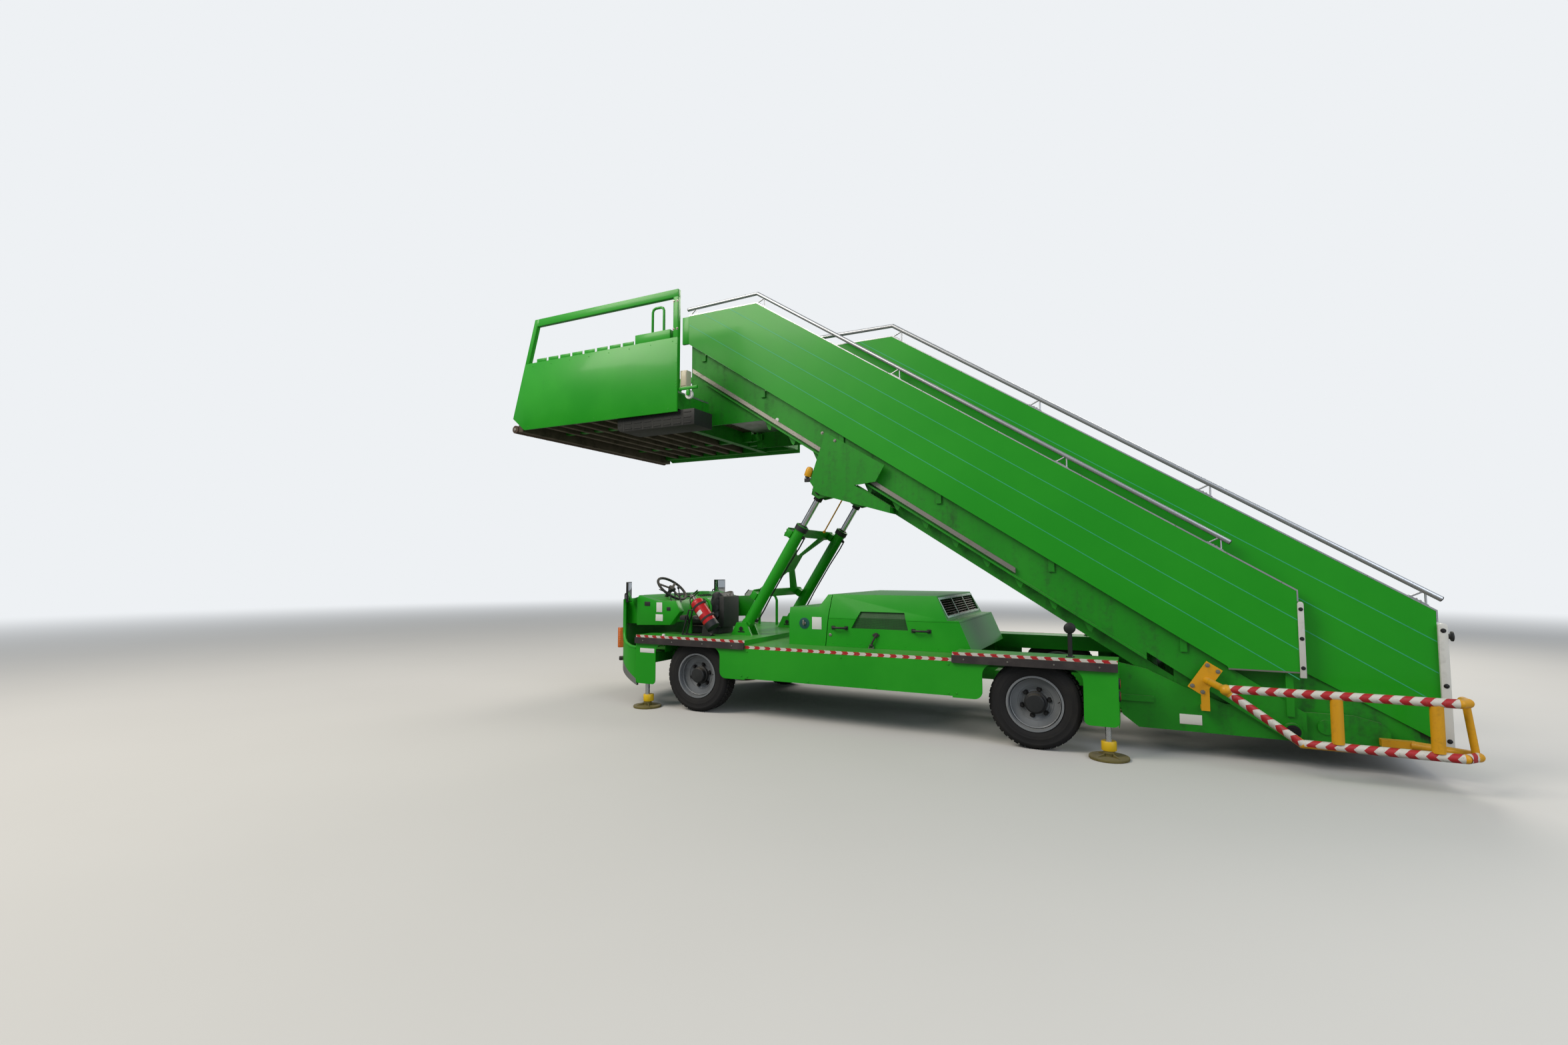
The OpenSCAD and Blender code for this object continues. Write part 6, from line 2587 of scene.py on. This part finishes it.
@dataclass
class PlatformShell(Assembly):
    """Beams, floor, sides, rails and bumper of the platform in the photographed forms."""

    home: ClassVar[str] = "platform"
    half: float = 1.49
    floor: float = 3.40
    front: float = -4.45
    beam: float = -4.3718

    def _lean(self, z: float) -> float:
        """Returns where the sides' leaning front edge is at a height."""
        return self.front + 0.2833 * (z - self.floor + 0.075)

    def frame(self) -> None:
        """Builds beams and arms under the floor."""
        f, g, b, inner, t = self.finishes, self.floor, self.beam, self.half - 0.0203, self.floor - 0.0183
        frame = Shape().box((-2.62, -inner, g - 0.20), (-2.53, inner, t))
        joists = Shape().box((b, -inner, g - 0.24), (b + 0.072, inner, t))
        for x in (-4.12, -3.89, -3.66, -3.43, -3.20, -2.97):
            joists.box((x, -inner, g - 0.18), (x + 0.06, inner, t))
        self.put(joists, "platform_joists", f.weathered, soft=0.002)
        for s in (-1, 1):
            for x0, x1, y0, y1, z0, z1 in (
                (b + 0.02, -2.06, self.half - 0.14, self.half - 0.05, g - 0.1895, t - 0.0005),
                (-2.54, -2.0605, 0.864, 0.934, g - 0.1885, t - 0.001),
                (-2.12, -2.061, 0.8645, inner - 0.001, g - 0.187, t - 0.0015),
                (b + 0.02, -2.40, 0.70, 0.765, g - 0.16, t - 0.01),
            ):
                frame.box((x0, min(s * y0, s * y1), z0), (x1, max(s * y0, s * y1), z1))
            frame.plate(
                [(-2.401, g - 0.16), (-2.401, g - 0.06), (-2.25, g - 0.065), (-2.25, g - 0.145)],
                min(s * 0.735, s * 0.7645), max(s * 0.735, s * 0.7645)
            )
            frame.lathe(
                [(0.0, 0.0), (0.025, 0.0), (0.025, 0.0195), (0.0, 0.0195)],
                turned((-2.30, s * 0.7645, g - 0.10), REAR, (0, s, 0)), 24
            )
        self.put(frame, "platform_beams", f.grimy, "platform_frame")
        deck = Shape().box((b + 0.001, -inner, g - 0.018), (-2.374, inner, g))
        for s in (-1, 1):
            deck.box((-2.3745, min(s * 0.864, s * inner), g - 0.018), (-2.062, max(s * 0.864, s * inner), g))
        self.put(deck, "platform_planks", f.aluminium, "platform_floor")

    def sides(self) -> None:
        """Builds side plates, square tube rails, covers, hoops and brackets."""
        f, g, y = self.finishes, self.floor, self.half
        top, rail = g + 0.57, g + 1.09
        side = Shape().plate(
            [(self.front, g - 0.075), (self._lean(top), top), (-2.047, top), (-2.047, g - 0.226), (-4.26, g - 0.226)],
            -y, -(y - 0.02)
        )
        self.pair(side, "platform_side_plates", f.green, "platform_sides", soft=0.002)
        z = top + 0.0003
        rails = Shape().box(
            (-4.06, -y, rail - 0.086), (-2.045, -(y - 0.05), rail)
        ).box((-2.105, -y, z), (-2.045, -(y - 0.05), rail - 0.08))
        rails.box((-2.105, -(y - 0.0203), g + 0.03), (-2.045, -(y - 0.05), z + 0.005))
        rails.plate(
            [
                (self._lean(z), z), (self._lean(z) + 0.062, z), (self._lean(rail - 0.086) + 0.062, rail - 0.086),
                (-4.055, rail - 0.086), (-4.055, rail), (self._lean(rail), rail)
            ],
            -y, -(y - 0.05)
        )
        self.pair(rails, "platform_tube_rails", f.green, "platform_rails", soft=0.003)
        c, z = -(y - 0.035), top + 0.10
        kit = Shape().box((-2.614, c - 0.03, top + 0.0003), (-2.15, c + 0.03, z))
        hoop = [
            (-2.40, c, z - 0.005), (-2.40, c, z + 0.228), (-2.388, c, z + 0.256), (-2.36, c, z + 0.268),
            (-2.29, c, z + 0.268), (-2.262, c, z + 0.256), (-2.25, c, z + 0.228), (-2.25, c, z - 0.005)
        ]
        kit.tube(hoop, 0.014, 12)
        kit.box(
            (-2.104, c - 0.0144, g + 0.0003), (-1.812, c + 0.012, g + 0.0297)
        ).box((-1.948, c - 0.010, g - 0.062), (-1.912, c + 0.008, g + 0.010))
        for i in range(8):
            x = -4.08 + 0.185 * i
            kit.box((x, c - 0.032, top + 0.0003), (x + 0.15, c - 0.022, top + 0.04))
        self.pair(kit, "platform_covers", f.green, soft=0.002)
        tray = Shape().box((-2.82, 0.05 - y, g - 0.3703), (-1.86, 0.39 - y, g - 0.2003)).box(
            (-2.88, 0.05 - y, g - 0.3103), (-2.8195, 0.39 - y, g - 0.2003)
        )
        tray.lathe(
            [(0.0, 0.0), (0.0598, 0.0), (0.0598, 0.3396), (0.0, 0.3396)],
            turned((-2.82, 0.0502 - y, g - 0.3103), REAR, RIGHT), 24
        )
        self.put(tray, "platform_tray", f.dark, soft=0.003)
        roll = Shape().lathe(
            [
                (0.0, 0.01 - y), (0.044, 0.01 - y), (0.0475, 0.014 - y), (0.0475, y - 0.014), (0.044, y - 0.01),
                (0.0, y - 0.01)
            ],
            turned((-4.4198, 0.0, g - 0.203), REAR, RIGHT), 32
        )
        self.put(roll, "bumper_roll", f.bumper, "platform_bumper")

    def build(self) -> None:
        """Builds the whole platform."""
        self.frame()
        self.sides()


@dataclass
class GuardPosts(Assembly):
    """Thick sleeves on the guard's posts and yellow collars on the stabiliser legs."""

    def build(self) -> None:
        """Builds sleeves and collars."""
        f, shape = self.finishes, Shape()
        for x in (3.449, 3.994):
            shape.lathe(
                [(0.0, 0.0), (0.038, 0.0), (0.038, 0.315), (0.0, 0.315)], Matrix.Translation((x, -1.10, 0.283)), 24
            )
        self.pair(shape, "guard_post_sleeves", f.yellow)
        for name, x, y in (("fl", -2.685, -1.10), ("fr", -2.685, 1.10), ("rl", 1.960, -1.10), ("rr", 1.960, 1.10)):
            inward = -0.02 if y > 0 else 0.02
            collar = Shape().lathe(
                [(0.0, 0.064), (0.056, 0.064), (0.058, 0.068), (0.058, 0.132), (0.054, 0.138), (0.0, 0.138)],
                Matrix.Translation((x, y + inward, 0.0)), 32
            )
            collar.carve(
                Shape().lathe(
                    [(0.0, 0.05), (0.0246, 0.05), (0.0246, 0.15), (0.0, 0.15)], Matrix.Translation((x, y, 0.0)), 24
                )
            )
            self.put(collar, f"leg_collars_{name}", f.collar, body=f"stabiliser_{name}")


# ---------------------------------------------------------------- studio


@dataclass
class Studio:
    """Floor, lamps and the camera at the photograph's place."""

    camera_at: tuple[float, float, float] = (2.225 + SHIFT, -7.4, 1.537)
    pitch: float = 3.72
    yaw: float = 27.0
    lens: float = 16.0
    sensor: float = 36.0
    aim: tuple[float, float, float] = (0.0, 0.0, 1.5)
    sky: float = 0.5
    reach: float = 120.0
    haze: tuple[float, float] = (60.0, 900.0)

    def camera(self) -> None:
        """Creates the scene's camera."""
        data = bpy.data.cameras.new("view_camera")
        data.lens, data.sensor_width = self.lens, self.sensor
        data.clip_start, data.clip_end = 0.05, 400.0
        made = add_object("view_camera", data)
        made.location = self.camera_at
        made.rotation_euler = (math.radians(90 + self.pitch), 0.0, math.radians(self.yaw))
        bpy.context.scene.camera = made

    def floor(self) -> None:
        """Lays the pale floor."""
        s = Shader("pale_floor")
        grain = s.noise(0.6, 3.0)
        seen = Term(s, s.node("ShaderNodeLightPath").outputs["Is Camera Ray"])
        near = s.mix(grain * 0.3, linear("#c9c8c4"), linear("#bcbbb6"))
        base = s.mix(seen, linear("#86857f"), near)
        plain = s.surface({"Base Color": base, "Roughness": 0.9})
        far = (s.axis("X") * s.axis("X") + s.axis("Y") * s.axis("Y")).ramp(*self.haze)
        haze = s.node("ShaderNodeEmission", inputs={"Color": linear(BACKDROP), "Strength": 1.0})
        blend = s.node("ShaderNodeMixShader", inputs={0: far * seen, 1: plain, 2: haze.outputs[0]})
        material = s.close(blend.outputs[0])
        mesh = bpy.data.meshes.new("floor")
        r = self.reach
        mesh.from_pydata([(-r, -r, 0), (r, -r, 0), (r, r, 0), (-r, r, 0)], [], [(0, 1, 2, 3)])
        mesh.materials.append(material)
        made = add_object("floor", mesh)
        made.location.z = -FLOOR_GAP

    def lights(self) -> None:
        """Sets the pale world and the lamps."""
        world = bpy.data.worlds.new("studio_world")
        world.use_nodes = True
        tree = world.node_tree
        tree.nodes.clear()
        path = add_node(tree, "ShaderNodeLightPath").outputs
        rays = {0: path["Is Camera Ray"], 1: path["Is Transmission Ray"]}
        seen = add_node(tree, "ShaderNodeMath", {"operation": "MAXIMUM"}, rays)
        lit = add_node(tree, "ShaderNodeBackground", None, {0: linear("#dfe6ee"), 1: self.sky})
        shown = add_node(tree, "ShaderNodeBackground", None, {0: linear(BACKDROP), 1: 1.0})
        mix = add_node(
            tree, "ShaderNodeMixShader", None, {0: seen.outputs[0], 1: lit.outputs[0], 2: shown.outputs[0]}
        )
        add_node(tree, "ShaderNodeOutputWorld", None, {0: mix.outputs[0]})
        bpy.context.scene.world = world
        for name, at, power, size, tint in (
            ("key_lamp", (-7.0, -9.0, 11.0), 1500.0, 7.0, "#fff6ea"),
            ("fill_lamp", (10.0, -6.0, 6.0), 500.0, 8.0, "#eef3ff"),
            ("back_lamp", (3.0, 10.0, 9.0), 1100.0, 7.0, "#fff8ee"),
        ):
            data = bpy.data.lights.new(name, "AREA")
            data.energy, data.size, data.color = power, size, linear(tint)[:3]
            lamp = add_object(name, data)
            lamp.location = at
            lamp.rotation_euler = (Vector(self.aim) - Vector(at)).to_track_quat("-Z", "Y").to_euler()
        bpy.context.scene.view_settings.view_transform = "Standard"

    def build(self) -> None:
        """Sets up the whole studio."""
        self.camera()
        self.floor()
        self.lights()


def main() -> None:
    """Builds the looks in order."""
    logging.basicConfig(level=logging.INFO, format="%(name)s %(message)s")
    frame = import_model()
    Studio().build()
    finishes = Finishes()
    dress_nodes(frame, finishes)
    LOG.info("nodes dressed: %d", len(frame["nodes"]))
    kit = Kit(finishes, Workshop(finishes))
    CabShell(kit).build()
    FenderEdges(kit).build()
    Cab(kit).build()
    EngineHousing(kit).build()
    WorkLamps(kit).build()
    FootGuard(kit).build()
    GuardPosts(kit).build()
    for end, x in (("f", -2.04), ("r", 1.395)):
        for hand, side in (("l", Side.LEFT), ("r", Side.RIGHT)):
            Wheel(kit, end + hand, x, side).build()
    for end, x in (("f", -2.685), ("r", 1.960)):
        for hand, side in (("l", Side.LEFT), ("r", Side.RIGHT)):
            Stabiliser(kit, end + hand, x, side).build()
    lower_rail = (
        (-0.841, lower_edge(-0.8) + 0.112), (LOWER_KNEE + 0.012, lower_edge(LOWER_KNEE) + 0.112),
        (4.168, lower_edge(4.168) + 0.108)
    )
    upper_rail = (
        (-2.382, upper_edge(-2.0) + 0.085), (UPPER_KNEE + 0.010, upper_edge(UPPER_KNEE) + 0.112),
        (2.874, upper_edge(2.874) + 0.108)
    )
    lower_feet, upper_feet = (-0.740, 0.150, 1.452, 2.761, 4.080), (-2.262, -1.372, 0.157, 1.675, 2.812)
    lower_run = 4.06 / 13
    landing = 0.206 + 13 * lower_run * RISE_PER_RUN
    FlightShell(
        kit, "lower", half=0.715, inner=0.7003, edge=lower_edge, head=-0.845, knee=LOWER_KNEE, end=4.1307,
        post=(4.131, 4.185, 0.215, lower_edge(4.158) - 0.098), rail=0.7075, rail_points=lower_rail,
        brackets=lower_feet
    ).build()
    LowerFlight(
        kit, "lower", half=0.715, tread_half=0.6877, steps=13,
        first=((lower_line(0.0) - landing) / RISE_PER_RUN, landing), run=lower_run, rise=lower_run * RISE_PER_RUN,
        edge=lower_edge, rail=0.7075, brackets=lower_feet, rail_ends=(lower_rail[0], lower_rail[-1])
    ).build()
    FlightShell(
        kit, "upper", half=0.83, inner=0.80, edge=upper_edge, head=-2.362, knee=UPPER_KNEE, end=3.2897,
        post=(3.290, 3.330, 0.70, upper_edge(3.31) - 0.092), rail=0.815, rail_points=upper_rail, brackets=upper_feet
    ).build()
    UpperFlight(
        kit, "upper", half=0.83, tread_half=0.7697, steps=11, first=(-1.40, 3.40), run=4.0 / 13,
        rise=4.0 / 13 * RISE_PER_RUN, edge=upper_edge, rail=0.815, brackets=upper_feet,
        rail_ends=(upper_rail[0], upper_rail[-1])
    ).build()
    LiftShell(kit).build()
    Lift(kit).build()
    PlatformShell(kit).build()
    Platform(kit).build()


if __name__ == "__main__":
    main()
